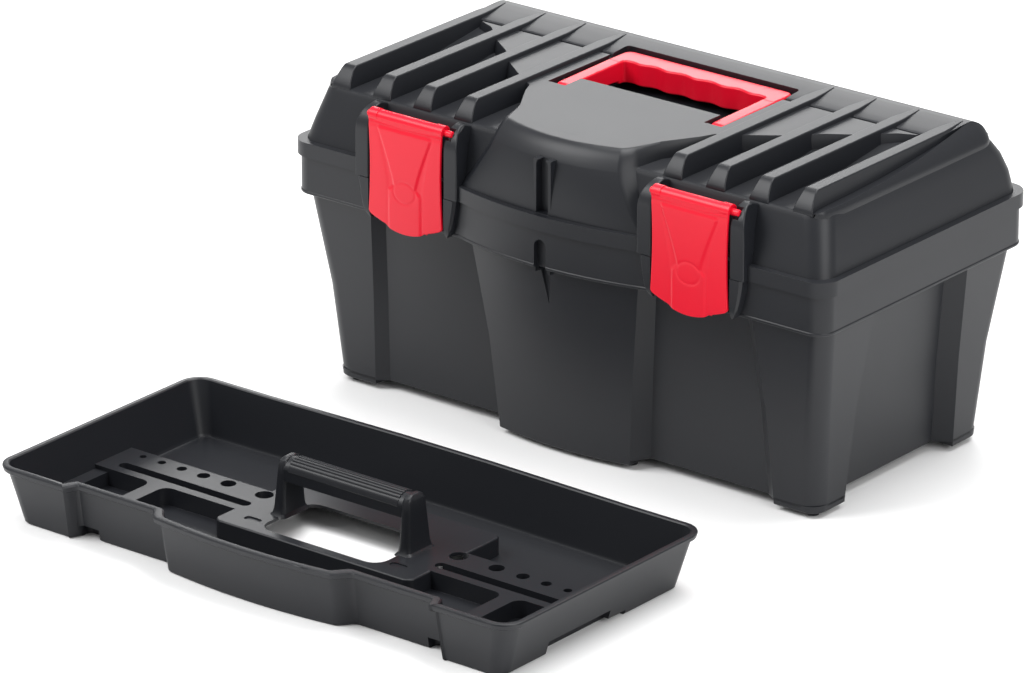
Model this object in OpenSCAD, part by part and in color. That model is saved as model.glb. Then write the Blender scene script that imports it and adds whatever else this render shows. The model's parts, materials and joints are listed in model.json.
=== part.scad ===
// Toolbox with a lift-out tray: moulded tub, hinged lid, two front latches,
// a folding carry handle and a loose tray that drops onto shelves inside the tub.
// Millimetres. +Z is up, the front faces -Y, the origin is under the middle of the tub.

/* [Overall] */
// Width over the lid's flange
box_w = 500; // [400:5:620]
// Depth over the lid's flange, without the bow in the middle
box_d = 260; // [215:5:330]
// Height of the tub, from the floor to its top edge
tub_h = 185; // [150:1:230]
// Height of the lid's flat top above its lower edge
lid_h = 54.5; // [45:0.5:80]
// How far the middle of the front bows out
bow = 14; // [4:1:20]
// Half the width of the bowed middle
bow_half = 92; // [70:1:110]
// Wall thickness of the tub and the lid
wall = 2.8; // [2:0.1:4]

/* [Tub] */
// Height of the small feet
foot_h = 4; // [2:0.5:8]
// How far the columns stand down below the floor of the tub
skirt_h = 4; // [2:0.5:8]
// Height of the collar round the top
collar_h = 30; // [22:1:45]
// Height at which the walls change their slope
kink_z = 79; // [50:1:110]
// Slope of the walls below the kink, in degrees
draft_low = 4.9; // [2:0.1:8]
// Slope of the walls above the kink, in degrees
draft_high = 7.8; // [3:0.1:10]
// How far the collar stands out over the end columns
collar_step_x = 4; // [2:0.5:8]
// How far the collar stands out over the front columns
collar_step_y = 7; // [3:0.5:10]
// Depth of the panels behind the front columns
recess_front = 6.5; // [3:0.5:12]
// Depth of the panels behind the end columns
recess_end = 13.5; // [6:0.5:18]
// Width of a corner column on the front, at the collar
column_w = 69; // [50:1:90]
// Width of a corner column on the end, at the collar
column_d = 69; // [50:1:80]
// Half the width of the middle column, at the collar
middle_half = 78; // [60:1:85]
// Radius of the tub's corners
corner_r = 14; // [10:1:25]

/* [Lid] */
// How far the flange stands out past the tub's collar
flange_over = 2.8; // [1.5:0.1:5]
// Height of the flange
flange_h = 11.5; // [8:0.5:18]
// Width of the ledge on top of the flange
flange_ledge = 5.4; // [3:0.1:8]
// Gap between the lid and the tub
lid_gap = 0.5; // [0.3:0.1:1]
// How far the ends lean in, from the flange to the top edge
lean_end = 12; // [5:1:20]
// How far the front leans in, from the flange to the top edge
lean_front = 13.5; // [5:1:20]
// Number of ribs on each side
rib_count = 4; // [2:1:5]
// Height of the ribs above the lid's flat top
rib_h = 15; // [8:0.5:20]
// Width of a rib at its foot
rib_w = 17.5; // [12:0.5:24]
// Width of a rib at its crest
rib_top_w = 10.5; // [6:0.5:16]
// Distance from the middle to the first rib
rib_first = 97.5; // [90:0.5:120]
// Height of the raised middle and back above the flat top
plateau_h = 12; // [6:0.5:14]

/* [Latches] */
// Distance from the middle to a latch
latch_x = 132.5; // [110:0.5:160]
// Width of a latch
latch_w = 70; // [50:1:80]
// Thickness of a latch's plate
latch_t = 2.6; // [2:0.1:4]
// Length of a latch below its pin
latch_len = 87; // [70:1:100]
// Height of a latch's pin above the lid's lower edge
pin_up = 50; // [40:0.5:58]
// Gap between a latch and the ears beside it
latch_gap = 0.8; // [0.4:0.1:1.5]
// Width of an ear at its foot
ear_w = 13; // [8:0.5:16]
// Radius of a latch pin
latch_pin_r = 2.5; // [1.5:0.1:3]
// Radius of the roll at the top of a latch
roll_r = 4.9; // [4.2:0.1:6.5]

/* [Carry handle] */
// Width of the carry handle
handle_w = 156; // [110:1:160]
// Distance from the handle's pivot to the back of its grip
handle_reach = 85; // [60:1:88]
// Width of the grip, front to back
grip_w = 20.5; // [14:0.5:24]
// Height of the grip
grip_h = 18; // [12:0.5:20]
// Width of an arm
arm_w = 11.5; // [8:0.5:13]
// Gap round the handle in its well
well_gap = 3; // [1.5:0.5:6]
// Radius of a handle pin
handle_pin_r = 2.5; // [1.5:0.1:3]

/* [Hinges] */
// Distance from the middle to a hinge
hinge_x = 150; // [90:5:180]
// Length of a hinge
hinge_len = 60; // [40:2:90]
// Radius of the hinge knuckles
knuckle_r = 5; // [4:0.1:6]
// Radius of a hinge pin
hinge_pin_r = 2; // [1.5:0.1:2.5]
// Gap between neighbouring knuckles
knuckle_gap = 0.4; // [0.2:0.1:1]

/* [Fits] */
// Radial clearance of a pin in a part that turns on it
running_gap = 0.08; // [0.02:0.01:0.1]
// Clearance all round between the tray's rim and the tub
tray_gap = 4.3; // [1:0.1:8]

/* [Tray] */
// Height of the tray's rim
tray_h = 45; // [35:1:60]
// How far the tray's walls lean out, from the floor to the rim
tray_lean = 13; // [8:1:24]
// Thickness of the tray's walls and floor
tray_wall = 2.4; // [1.8:0.1:3]
// Width of the rim's roll outside the wall
tray_lip = 3; // [1:0.1:5]
// Height of the tool rack above the floor of the tray
rack_z = 16.5; // [12:0.5:24]
// Depth of the rack with the holes, front to back
rack_d = 41; // [30:1:50]
// Diameters of the rack's round holes, from the middle outwards
hole_d = [14, 12, 10, 8, 6.5, 5.5];
// Half the width of the raised deck round the tray's handle
deck_half = 82; // [75:1:95]
// Length of the tray's handle between its posts
tray_grip_len = 108; // [80:1:120]
// Width of the opening under the tray's handle
reach_w = 124; // [90:1:140]
// Depth of the opening under the tray's handle
reach_d = 60; // [45:1:70]
// Height of the tray's handle above the floor
tray_handle_h = 60; // [50:1:75]
// Gap between the toolbox and the tray that stands in front of it
tray_stand_off = 118.5; // [60:0.5:300]
// How far the tray stands to the right of the toolbox's middle
tray_side = -4.5; // [-100:0.5:100]

/* [Hidden] */
black = "#2b2e33";
red = "#d0202a";
steel = "#b9bcc0";
eps = 0.01;                 // makes cuts run clean through
arc_steps = 6;              // segments in each rounded corner
bow_steps = 6;              // segments in half of the bowed front
$fn = 32;

// heights of the tub
floor_z = foot_h + skirt_h;
collar_z = tub_h - collar_h;
// half sizes of the collar, the flange and the lid's wall
collar_x = box_w / 2 - flange_over;
collar_y = box_d / 2 - flange_over;
lid_z = tub_h + lid_gap;
flange_top = lid_z + flange_h;
wall_x = box_w / 2 - flange_ledge;
wall_y = box_d / 2 - flange_ledge;
top_z = lid_z + lid_h;      // the lid's flat top
top_x = wall_x - lean_end;
top_y = wall_y - lean_front;
plateau_z = top_z + plateau_h;

// tub details
step_w = 9;                 // width of the slanted step from a column to its panel
column_taper = 0.6;         // how fast a column's inner edge draws in with the wall
foot_r = 7;
centre_foot_r = 12;         // foot that keeps the middle of the floor from sagging
foot_len = 20;              // from a column's outer faces to the middle of its foot
middle_foot_d = 30;
middle_foot_x = 10;         // from the middle column's corner to its foot
middle_foot_y = 14;
foot_inset = 2.5;           // feet stand inside the outline of the floor
shelf_t = 3;
shelf_w = 42;
shelf_z = collar_z - 8;     // the stored tray stands at this height
catch_w = 40;               // catch under a latch's nose
catch_h = 1.6;
catch_z = collar_z + 5;
nose_gap = 0.7;

// lid details: height, then lean of the end, the front, the back, and width of the bow, as shares
lid_profile = [[0, 0, 0, 0, 1], [0.36, 0.33, 0.35, 0.06, 0.72], [0.68, 0.66, 0.7, 0.36, 0.62],
               [0.93, 0.94, 0.96, 0.84, 0.59], [1.07, 1.66, 1.54, 1.4, 0.57]];
lean_back = 18;
strip_y = top_y - 62;       // front edge of the strip along the back
back_y = top_y - 22;        // back end of the ribs
rail_x = top_x - 5;
rib_last = top_x - 18;
rib_at = [for (i = [0:rib_count - 1]) rib_first + (rib_last - rib_first) * i / (rib_count - 1)];
plateau_front = 53;         // half the width of the raised middle at the front

// latches and their ears
pin_y = box_d / 2;
pin_z = lid_z + pin_up;
ear_out = 4.5;              // from the pin's axis to the front of the ears
ear_y = pin_y + ear_out;
ear_r = 5.6;
ear_in = latch_w / 2 + latch_gap;
pin_in = 4;                 // depth of a latch pin in an ear

// carry handle
pivot_y = strip_y - 68;
pivot_r = 7;
pivot_z = plateau_z - 9;
grip_z = plateau_z - grip_h - 1;
well_z = grip_z - 6;
finger_r = 26;
finger_pitch = 26;
handle_pin_in = 5;          // how far a pin stands in past its arm
handle_pin_out = 6;         // how far it goes into the side of the well
handle_pin_x0 = handle_w / 2 - arm_w - handle_pin_in;
handle_pin_x1 = handle_w / 2 + handle_pin_out;

// hinges
hinge_out = 1;              // gap between the knuckles and the flange
hinge_y = box_d / 2 + knuckle_r + hinge_out;
hinge_z = tub_h;
knuckle_l = 15;

// tray: half sizes of its rim, measured to the wall
tray_x = collar_x - wall - tray_gap - tray_lip;
tray_slack = 6;             // extra room in front of and behind the stored tray
tray_y = collar_y - wall - tray_gap - tray_lip - tray_slack;
tray_r = 15;
tray_bulge = 8;
tray_recess = 9;
tray_pad_x = tray_x - 67;
tray_at_y = -box_d / 2 - tray_stand_off - tray_y;
deck_front = 44;
deck_back = 62;
rack_y = 17;                // front edge of the hole rack
bin_wall_x = tray_x - 76;
bin_wall_z = 26;
reach_y = -33;              // front edge of the opening under the handle
hole_row_y = 16;
hole_first = 9;             // from the deck's edge to the first hole
hole_end = 29;              // from the last hole to the tray's rim
hole_crowding = 0.76;       // below 1, the holes come closer together towards the end
slot_over = 4;              // how far the slot runs past the first and the last hole
slot_row_y = -5;
slot_w = 9;
post_y = 6;
post_w = 10;
grip_r = 8;

// places of the rack's holes: each one further out, closer together as they get smaller
function hole_x(i) =
    let (first = deck_half + hole_first, last = tray_x - hole_end)
    first + (last - first) * pow(i / (len(hole_d) - 1), hole_crowding);

// how far a column's face has come in, at height z
function drawn_in(z) = z < kink_z
    ? tan(draft_high) * (collar_z - kink_z) + tan(draft_low) * (kink_z - z)
    : tan(draft_high) * (collar_z - z);

// extra depth of the bowed front at distance x from the middle
function bow_at(x, depth, half) = depth * max(0, 1 - pow(x / half, 2));

function arc(cx, cy, r, a0, a1) =
    [for (i = [0:arc_steps]) let (a = a0 + (a1 - a0) * i / arc_steps) [cx + r * cos(a), cy + r * sin(a)]];

// the right half of an outline, front middle to back middle, mirrored to the full ring at height z
function ring(half, z) = concat(
    [for (p = half) [p[0], p[1], z]],
    [for (i = [len(half) - 1:-1:1]) [-half[i][0], half[i][1], z]]);

// a closed solid through a stack of rings, each with the same number of points
module loft(rings) {
    n = len(rings[0]);
    polyhedron(
        points = [for (r = rings) for (p = r) p],
        faces = concat(
            [[for (i = [0:n - 1]) i]],
            [for (k = [0:len(rings) - 2]) for (i = [0:n - 1]) for (t = [0, 1])
                let (a = k * n + i, b = k * n + (i + 1) % n)
                t == 0 ? [a, a + n, b + n] : [a, b + n, b]],
            [[for (i = [n - 1:-1:0]) (len(rings) - 1) * n + i]]),
        convexity = 8);
}

// keeps what lies between two heights, and leaves each cut as one flat face
module between(z0, z1) {
    intersection() {
        children();
        translate([-box_w, -box_d, z0]) cube([2 * box_w, 2 * box_d, z1 - z0]);
    }
}

// an outline given in the Y-Z plane, drawn out along X
module along_x(x0, x1, outline) {
    translate([x0, 0, 0]) rotate([90, 0, 90]) linear_extrude(x1 - x0) polygon(outline);
}

// an outline given in the X-Z plane, drawn out along Y
module along_y(y0, y1, outline) {
    translate([0, y1, 0]) rotate([90, 0, 0]) linear_extrude(y1 - y0) polygon(outline);
}

// a round bar along X
module bar_x(x0, x1, y, z, r) {
    translate([x0, y, z]) rotate([0, 90, 0]) cylinder(h = x1 - x0, r = r);
}

module both_sides() {
    children();
    mirror([1, 0, 0]) children();
}

// ---------- tub ----------

// half outline of the columned tub at height z; inset moves the skin inwards
function column_half(z, inset) =
    let (d = drawn_in(z),
         hx = collar_x - collar_step_x - d - inset,
         hy = collar_y - collar_step_y - d - inset,
         cx = collar_x - column_w + column_taper * d + inset,
         cy = collar_y - column_d + column_taper * d + inset,
         mx = middle_half - d - inset,
         r = corner_r - inset)
    concat(
        [for (i = [0:bow_steps]) let (x = mx * i / bow_steps) [x, -hy - bow_at(x, bow, bow_half)]],
        [[mx + step_w, recess_front - hy], [cx - step_w, recess_front - hy], [cx, -hy]],
        arc(hx - r, r - hy, r, -90, 0),
        [[hx, -cy], [hx - recess_end, step_w - cy], [hx - recess_end, cy - step_w], [hx, cy]],
        arc(hx - r, hy - r, r, 0, 90),
        [[cx, hy], [cx - step_w, hy - recess_front], [mx + step_w, hy - recess_front], [mx, hy]]);

// half outline of the collar, with a point for each point of the columned outline below it
function collar_half(inset) =
    let (hx = collar_x - inset, hy = collar_y - inset, r = corner_r - inset,
         mx = middle_half, cx = collar_x - column_w, cy = collar_y - column_d)
    concat(
        [for (i = [0:bow_steps]) let (x = mx * i / bow_steps) [x, -hy - bow_at(x, bow, bow_half)]],
        [[mx + step_w, -hy - bow_at(mx + step_w, bow, bow_half)], [cx - step_w, -hy], [cx, -hy]],
        arc(hx - r, r - hy, r, -90, 0),
        [[hx, -cy], [hx, step_w - cy], [hx, cy - step_w], [hx, cy]],
        arc(hx - r, hy - r, r, 0, 90),
        [[cx, hy], [cx - step_w, hy], [mx + step_w, hy], [mx, hy]]);

// one corner foot: the end of a column, with a small foot under it
module corner_foot() {
    d = drawn_in(floor_z);
    hx = collar_x - collar_step_x - d - foot_inset;
    hy = collar_y - collar_step_y - d - foot_inset;
    cx = collar_x - column_w + column_taper * d + foot_inset;
    cy = collar_y - column_d + column_taper * d + foot_inset;
    translate([0, 0, foot_h]) linear_extrude(skirt_h + wall / 2)
        polygon([[cx, -hy], [hx - corner_r, -hy], [hx - 4, 4 - hy], [hx, corner_r - hy], [hx, -cy],
                [cx, -cy]]);
    translate([hx - foot_len, foot_len - hy, 0]) cylinder(h = foot_h + eps, r = foot_r);
}

// the end of the middle column at the front or the back
module middle_foot(side, depth) {
    hx = middle_half - drawn_in(floor_z) - 2 * foot_inset;
    hy = collar_y - collar_step_y - drawn_in(floor_z) + 0.5 * depth - foot_inset;
    translate([0, 0, foot_h]) linear_extrude(skirt_h + wall / 2)
        polygon([[-hx, side * hy], [hx, side * hy], [hx, side * (hy - middle_foot_d)],
                 [-hx, side * (hy - middle_foot_d)]]);
    for (x = [-1, 1]) translate([x * (hx - middle_foot_x), side * (hy - middle_foot_y), 0])
        cylinder(h = foot_h + eps, r = foot_r);
}

// shelf in a corner column that carries the stored tray
module tray_shelf() {
    z = shelf_z - shelf_t;
    hx = collar_x - collar_step_x - drawn_in(z) - wall / 2;
    hy = collar_y - collar_step_y - drawn_in(z) - wall / 2;
    translate([0, 0, z]) linear_extrude(shelf_t)
        polygon([[hx - shelf_w, -hy], [hx - corner_r, -hy], [hx, corner_r - hy], [hx, shelf_w - hy],
                 [hx - shelf_w, shelf_w - hy]]);
}

// cheek beside a latch, leaning out to carry the pin; x is its inner face
function ear_side(x, z0, z1, w0, w1) = [[x, z0], [x + w0, z0], [x + w1, z1], [x, z1]];

module tub_ear(inner) {
    intersection() {
        along_x(inner, inner + ear_w, [[-collar_y + 2, collar_z - 4], [-ear_y + 1, collar_z],
                                       [-ear_y, collar_z + 8], [-ear_y, tub_h], [-collar_y + 2, tub_h]]);
        along_y(-ear_y - 1, -collar_y + 3, ear_side(inner, collar_z - 5, tub_h + 1, 1.5, ear_w - 2.5));
    }
}

module base_tub() {
    color(black) difference() {
        union() {
            between(floor_z, tub_h + 1)
            loft([ring(column_half(floor_z, 2), floor_z - 2),
                  ring(column_half(floor_z + 1.5, 0), floor_z + 1.5),
                  ring(column_half(kink_z, 0), kink_z),
                  ring(column_half(collar_z, 0), collar_z),
                  ring(collar_half(0.4), collar_z),
                  ring(collar_half(0), collar_z + 1),
                  ring(collar_half(0), tub_h - 1),
                  ring(collar_half(0.8), tub_h),
                  ring(collar_half(wall), tub_h),
                  ring(collar_half(wall), collar_z + wall),
                  ring(column_half(collar_z + wall / 2, wall), collar_z + wall),
                  ring(column_half(kink_z, wall), kink_z),
                  ring(column_half(floor_z, wall), floor_z + wall)]);
            both_sides() {
                corner_foot();
                mirror([0, 1, 0]) corner_foot();
                tray_shelf();
                mirror([0, 1, 0]) tray_shelf();
                for (side = [-1, 1]) translate([latch_x, 0, 0]) mirror([side < 0 ? 1 : 0, 0, 0])
                    tub_ear(ear_in);
                // catch that the latch's nose snaps over
                along_x(latch_x - catch_w / 2, latch_x + catch_w / 2,
                        [[-collar_y + 1, catch_z], [-collar_y - catch_h, catch_z + 1],
                         [-collar_y - catch_h, catch_z + 3], [-collar_y + 1, catch_z + 14]]);
                for (x = [0, 1]) tub_knuckle(hinge_x + (x - 0.5) * (hinge_len + knuckle_l) - knuckle_l / 2);
            }
            middle_foot(-1, bow);
            middle_foot(1, 0);
            cylinder(h = floor_z + wall / 2, r = centre_foot_r);
        }
        both_sides() bar_x(hinge_x - hinge_len, hinge_x + hinge_len, hinge_y, hinge_z, hinge_pin_r);
    }
}

module tub_knuckle(x) {
    bar_x(x, x + knuckle_l, hinge_y, hinge_z, knuckle_r);
    along_x(x, x + knuckle_l, [[collar_y - 1, hinge_z - 12], [hinge_y, hinge_z - knuckle_r],
                               [hinge_y, hinge_z - 1], [collar_y - 1, hinge_z - 1]]);
}

// ---------- lid ----------

// half outline of the lid's wall: half width, front, back, corner radius, bow depth and half width
function lid_half(hx, front, back, r, depth, half) =
    let (span = hx - r - half)
    concat(
        [for (i = [0:bow_steps]) let (x = half * i / bow_steps) [x, -front - bow_at(x, depth, half)]],
        arc(hx - r, r - front, r, -90, 0),
        arc(hx - r, back - r, r, 0, 90),
        [[hx - r - span / 2, back], [half / 2, back]]);

// the lid's outer skin: the flange, its ledge, the leaning wall and the flat top
function wall_ring(k, inset, drop) =
    ring(lid_half(wall_x - lean_end * k[1] - inset, wall_y - lean_front * k[2] - inset,
                  wall_y - lean_back * k[3] - inset, corner_r + 3 - inset,
                  bow * (1 - 0.5 * k[0]), bow_half * k[4]), flange_top + (lid_h - flange_h) * k[0] - drop);

function flange_ring(inset, z) =
    ring(lid_half(box_w / 2 - inset, box_d / 2 - inset, box_d / 2 - inset, corner_r + 3, bow, bow_half), z);

module lid_skin() {
    between(lid_z - 1, top_z)
        loft(concat([flange_ring(0.8, lid_z), flange_ring(0, lid_z + 1.2),
                     flange_ring(0, flange_top - 1.5), flange_ring(1.2, flange_top)],
                    [for (k = lid_profile) wall_ring(k, 0, 0)]));
}

module lid_hollow() {
    between(lid_z - 3, top_z - wall)
        loft(concat([wall_ring(lid_profile[0], wall, flange_h + 1)],
                    [for (k = lid_profile) wall_ring(k, wall, wall)]));
}

// a rib: a bar with slanted sides and a slanted front end
module lid_rib(x, inset) {
    w0 = rib_w / 2 - inset;
    w1 = rib_top_w / 2 - inset;
    z1 = top_z + rib_h - inset;
    y0 = -top_y + 1 + inset;
    y1 = back_y - inset;
    z0 = top_z - wall - 2;
    foot = top_z - 0.7;
    loft([[[x - w0, y0, z0], [x + w0, y0, z0], [x + w0, y1 + 3, z0], [x - w0, y1 + 3, z0]],
          [[x - w0, y0, foot], [x + w0, y0, foot], [x + w0, y1 + 3, foot], [x - w0, y1 + 3, foot]],
          [[x - w1, y0 + 4, z1], [x + w1, y0 + 4, z1], [x + w1, y1, z1], [x - w1, y1, z1]]]);
}

// raised middle: its outline widens from the front to the first ribs and runs to the back
module plateau(inset) {
    front = [[plateau_front, -top_y - 1], [plateau_front + 12, -top_y + 27], [bow_half - 11, -top_y + 54],
             [rib_first, -top_y + 70]];
    outline = concat(front, [[rib_first, strip_y], [-rib_first, strip_y]],
                     [for (i = [len(front) - 1:-1:0]) [-front[i][0], front[i][1]]]);
    translate([0, 0, top_z - wall - 2]) linear_extrude(plateau_h + wall + 2 - inset)
        offset(delta = -inset) polygon(outline);
}

// the back of the lid rises from the flat top to the level of the raised middle
module lid_back(inset) {
    z = top_z - wall - 2;
    along_x(-rail_x + inset, rail_x - inset,
            [[-22, z], [-22, top_z - 0.6 - inset], [strip_y, top_z + 7 - inset],
             [strip_y, plateau_z - inset], [back_y, plateau_z - inset],
             [back_y + 7 - inset, plateau_z - 5 - inset],
             [back_y + 13 - inset, top_z - 1 - inset], [back_y + 13 - inset, z]]);
}

// raised edge over each end, following the lid's rise to the back
module end_rail() {
    along_x(top_x - 8, top_x - 1.5,
            [[-42, top_z - 2], [-42, top_z - 0.6], [-14, top_z + 4], [4, top_z + 8], [26, top_z + 13],
             [back_y - 4, top_z + rib_h], [back_y + 4, plateau_z], [back_y + 12, top_z - 0.6],
             [back_y + 12, top_z - 2]]);
}

// facet that climbs from the ribs' valley to the strip along the back
module back_facet() {
    z = top_z + 3;
    x0 = rib_first - 8;
    x1 = rib_first + 88;
    crest = plateau_z - 0.2;
    loft([[[x0, 4, z - 8], [x1, strip_y - 1, z - 8], [x1, strip_y + 2, z - 8], [x0, strip_y + 2, z - 8]],
          [[x0, 4, z], [x1, strip_y - 1, z + 4], [x1, strip_y + 2, z + 4], [x0, strip_y + 2, z + 4]],
          [[x0, strip_y - 2, crest], [x1, strip_y, crest], [x1, strip_y + 2, crest],
           [x0, strip_y + 2, crest]]]);
}

// pocket that the carry handle folds into, with a slot for each arm
module handle_well(grow) {
    z = well_z - grow;
    h = plateau_z - z + 5;
    translate([-handle_w / 2 - well_gap - grow, pivot_y + 10 - grow, z])
        cube([handle_w + 2 * (well_gap + grow), handle_reach - 10 + well_gap + 2 * grow, h]);
    both_sides() translate([handle_w / 2 - arm_w - well_gap / 2 - grow,
            pivot_y - pivot_r - well_gap - grow, z])
        cube([arm_w + well_gap + 2 * grow, pivot_r + well_gap + 12 + 2 * grow, h]);
}

module lid_ear(inner) {
    y0 = -wall_y + lean_front + 2;
    intersection() {
        union() {
            along_x(inner, inner + ear_w,
                    [[y0, lid_z + 0.4], [-ear_y, lid_z + 0.4], [-ear_y, pin_z], [-pin_y, pin_z],
                     [-pin_y + ear_r, pin_z + 2], [y0, top_z - 1.5]]);
            bar_x(inner, inner + ear_w, -pin_y, pin_z, ear_r);
        }
        along_y(-ear_y - 2, y0 + 1, ear_side(inner, lid_z, top_z + 2, ear_w, 4.5));
    }
}

module lid_shell() {
    color(black) difference() {
        union() {
            difference() {
                union() {
                    lid_skin();
                    plateau(0);
                    lid_back(0);
                    both_sides() {
                        for (x = rib_at) lid_rib(x, 0);
                        end_rail();
                        back_facet();
                    }
                }
                difference() {
                    union() {
                        lid_hollow();
                        plateau(wall);
                        lid_back(wall);
                        both_sides() for (x = rib_at) lid_rib(x, wall);
                    }
                    handle_well(wall);
                }
                handle_well(0);
            }
            both_sides() {
                for (side = [-1, 1]) translate([latch_x, 0, 0]) mirror([side < 0 ? 1 : 0, 0, 0])
                    lid_ear(ear_in);
                lid_knuckle();
            }
        }
        both_sides() {
            bar_x(latch_x - ear_in - pin_in, latch_x + ear_in + pin_in, -pin_y, pin_z, latch_pin_r);
            bar_x(handle_pin_x0, handle_pin_x1, pivot_y, pivot_z, handle_pin_r);
            bar_x(hinge_x - hinge_len, hinge_x + hinge_len, hinge_y, hinge_z, hinge_pin_r + running_gap);
        }
    }
}

module lid_knuckle() {
    half = hinge_len / 2 - knuckle_gap;
    bar_x(hinge_x - half, hinge_x + half, hinge_y, hinge_z, knuckle_r);
    along_x(hinge_x - half, hinge_x + half,
            [[box_d / 2 - 3, lid_z + 1], [hinge_y, lid_z + 1], [hinge_y, hinge_z + knuckle_r],
             [box_d / 2 - 3, flange_top - 2]]);
}

// ---------- latches ----------

// outline of a latch seen from the front, narrowing to its tongue
latch_front = [[-latch_w / 2, roll_r], [-latch_w / 2 + 1.5, -latch_len * 0.5], [-latch_w / 2, 8 - latch_len],
               [-latch_w / 2 + 3, 6 - latch_len], [-20, 5 - latch_len], [-16, -latch_len], [16, -latch_len],
               [20, 5 - latch_len], [latch_w / 2 - 3, 6 - latch_len], [latch_w / 2, 8 - latch_len],
               [latch_w / 2 - 1.5, -latch_len * 0.5], [latch_w / 2, roll_r]];

module latch(x) {
    y = -ear_y - 1;                     // front face of the plate
    z = pin_z - latch_len;
    color(red) difference() {
        union() {
            bar_x(x - latch_w / 2, x + latch_w / 2, -pin_y, pin_z, roll_r);
            intersection() {
                union() {
                    along_x(x - latch_w / 2, x + latch_w / 2,
                            [[y, pin_z - 1], [y, z + 9], [y - 3, z], [y - 3 + latch_t, z],
                             [y + latch_t, z + 9], [y + latch_t, pin_z - 1]]);
                    // nose behind the plate, under the tub's catch
                    along_x(x - catch_w / 2, x + catch_w / 2,
                            [[y + 1, catch_z - 1], [y + 1, catch_z - 8],
                             [-collar_y - catch_h - nose_gap, catch_z - 4],
                             [-collar_y - catch_h - nose_gap, catch_z - 2]]);
                }
                translate([x, 0, pin_z]) along_y(-ear_y - 8, -collar_y + 2, latch_front);
            }
        }
        bar_x(x - latch_w, x + latch_w, -pin_y, pin_z, latch_pin_r + running_gap);
    }
}

module latch_pin(x) {
    color(red) bar_x(x - ear_in - pin_in, x + ear_in + pin_in, -pin_y, pin_z, latch_pin_r);
}

module latch_left() { latch(-latch_x); }
module latch_right() { latch(latch_x); }
module latch_pin_left() { latch_pin(-latch_x); }
module latch_pin_right() { latch_pin(latch_x); }

// ---------- carry handle ----------

module carry_handle() {
    grip_y = pivot_y + handle_reach;
    color(red) difference() {
        union() {
            along_x(-handle_w / 2, handle_w / 2,
                    [for (c = [[grip_y - 3, 3, 0], [grip_y - 3, grip_h - 5, 90],
                               [grip_y - grip_w + 3, grip_h - 3, 180], [grip_y - grip_w + 3, 3, 270]])
                        for (p = arc(c[0], grip_z + c[1], 3, c[2] - 90, c[2])) p]);
            both_sides() {
                bar_x(handle_w / 2 - arm_w, handle_w / 2, pivot_y, pivot_z, pivot_r);
                along_x(handle_w / 2 - arm_w, handle_w / 2,
                        [[pivot_y, pivot_z - pivot_r], [grip_y - grip_w + 2, grip_z + 5],
                         [grip_y - grip_w + 2, grip_z + grip_h], [pivot_y, pivot_z + pivot_r]]);
            }
        }
        // finger scallops along the inner edge of the grip
        for (i = [-1.5:1:1.5]) translate([i * finger_pitch, grip_y - grip_w - finger_r + 2, grip_z - 1])
            cylinder(h = grip_h + 2, r = finger_r);
        bar_x(-handle_w, handle_w, pivot_y, pivot_z, handle_pin_r + running_gap);
    }
}

module handle_pin() {
    color(steel) bar_x(handle_pin_x0, handle_pin_x1, pivot_y, pivot_z, handle_pin_r);
}

module handle_pin_right() { handle_pin(); }
module handle_pin_left() { mirror([1, 0, 0]) handle_pin(); }

// ---------- hinge pins ----------

module hinge_pin() {
    half = hinge_len / 2 + knuckle_l;
    color(steel) bar_x(hinge_x - half, hinge_x + half, hinge_y, hinge_z, hinge_pin_r);
}

module hinge_pin_right() { hinge_pin(); }
module hinge_pin_left() { mirror([1, 0, 0]) hinge_pin(); }

// ---------- tray ----------

// half outline of the tray at height z above its floor; out moves the skin outwards
function tray_half(z, out) =
    let (lean = tray_lean * (1 - z / tray_h),
         hx = tray_x - lean + out, hy = tray_y - 0.6 * lean + out, r = tray_r - 0.3 * lean + out,
         pad = tray_pad_x + lean * 0.1 - out, mid = deck_half - lean * 0.1 + out)
    concat(
        [for (i = [0:bow_steps]) let (x = mid * i / bow_steps) [x, -hy - bow_at(x, tray_bulge, mid * 1.15)]],
        [[mid + 6, tray_recess - hy], [pad - 4, tray_recess - hy], [pad, -hy]],
        arc(hx - r, r - hy, r, -90, 0),
        arc(hx - r, hy - r, r, 0, 90),
        [[pad, hy], [deck_half, hy + 2], [deck_half / 2, hy + 3]]);

module tray_shell() {
    loft([ring(tray_half(0, -1), 0),
          ring(tray_half(1, 0), 1),
          ring(tray_half(tray_h - 5, 0), tray_h - 5),
          ring(tray_half(tray_h - 5, tray_lip), tray_h - 4.6),
          ring(tray_half(tray_h, tray_lip), tray_h - 1),
          ring(tray_half(tray_h, tray_lip - 1), tray_h),
          ring(tray_half(tray_h, -1), tray_h),
          ring(tray_half(tray_h, -tray_wall), tray_h - 2),
          ring(tray_half(0, -tray_wall), tray_wall)]);
}

// a hollow block with a flat top, standing on the tray's floor
module rack(x0, x1, y0, y1, z) {
    difference() {
        translate([x0, y0, tray_wall - 0.4]) cube([x1 - x0, y1 - y0, z - tray_wall + 0.4]);
        translate([x0 + tray_wall, y0 + tray_wall, -eps])
            cube([x1 - x0 - 2 * tray_wall, y1 - y0 - 2 * tray_wall, z - tray_wall + eps]);
    }
}

module slot(x0, x1, y, w) {
    hull() for (x = [x0 + w / 2, x1 - w / 2]) translate([x, y]) circle(d = w);
}

// what stands on the tray's floor ends in the middle of its wall
module within_tray() {
    intersection() {
        children();
        loft([ring(tray_half(0, -tray_wall / 2), tray_wall / 2),
              ring(tray_half(tray_h, -tray_wall / 2), tray_h - 2)]);
    }
}

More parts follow.
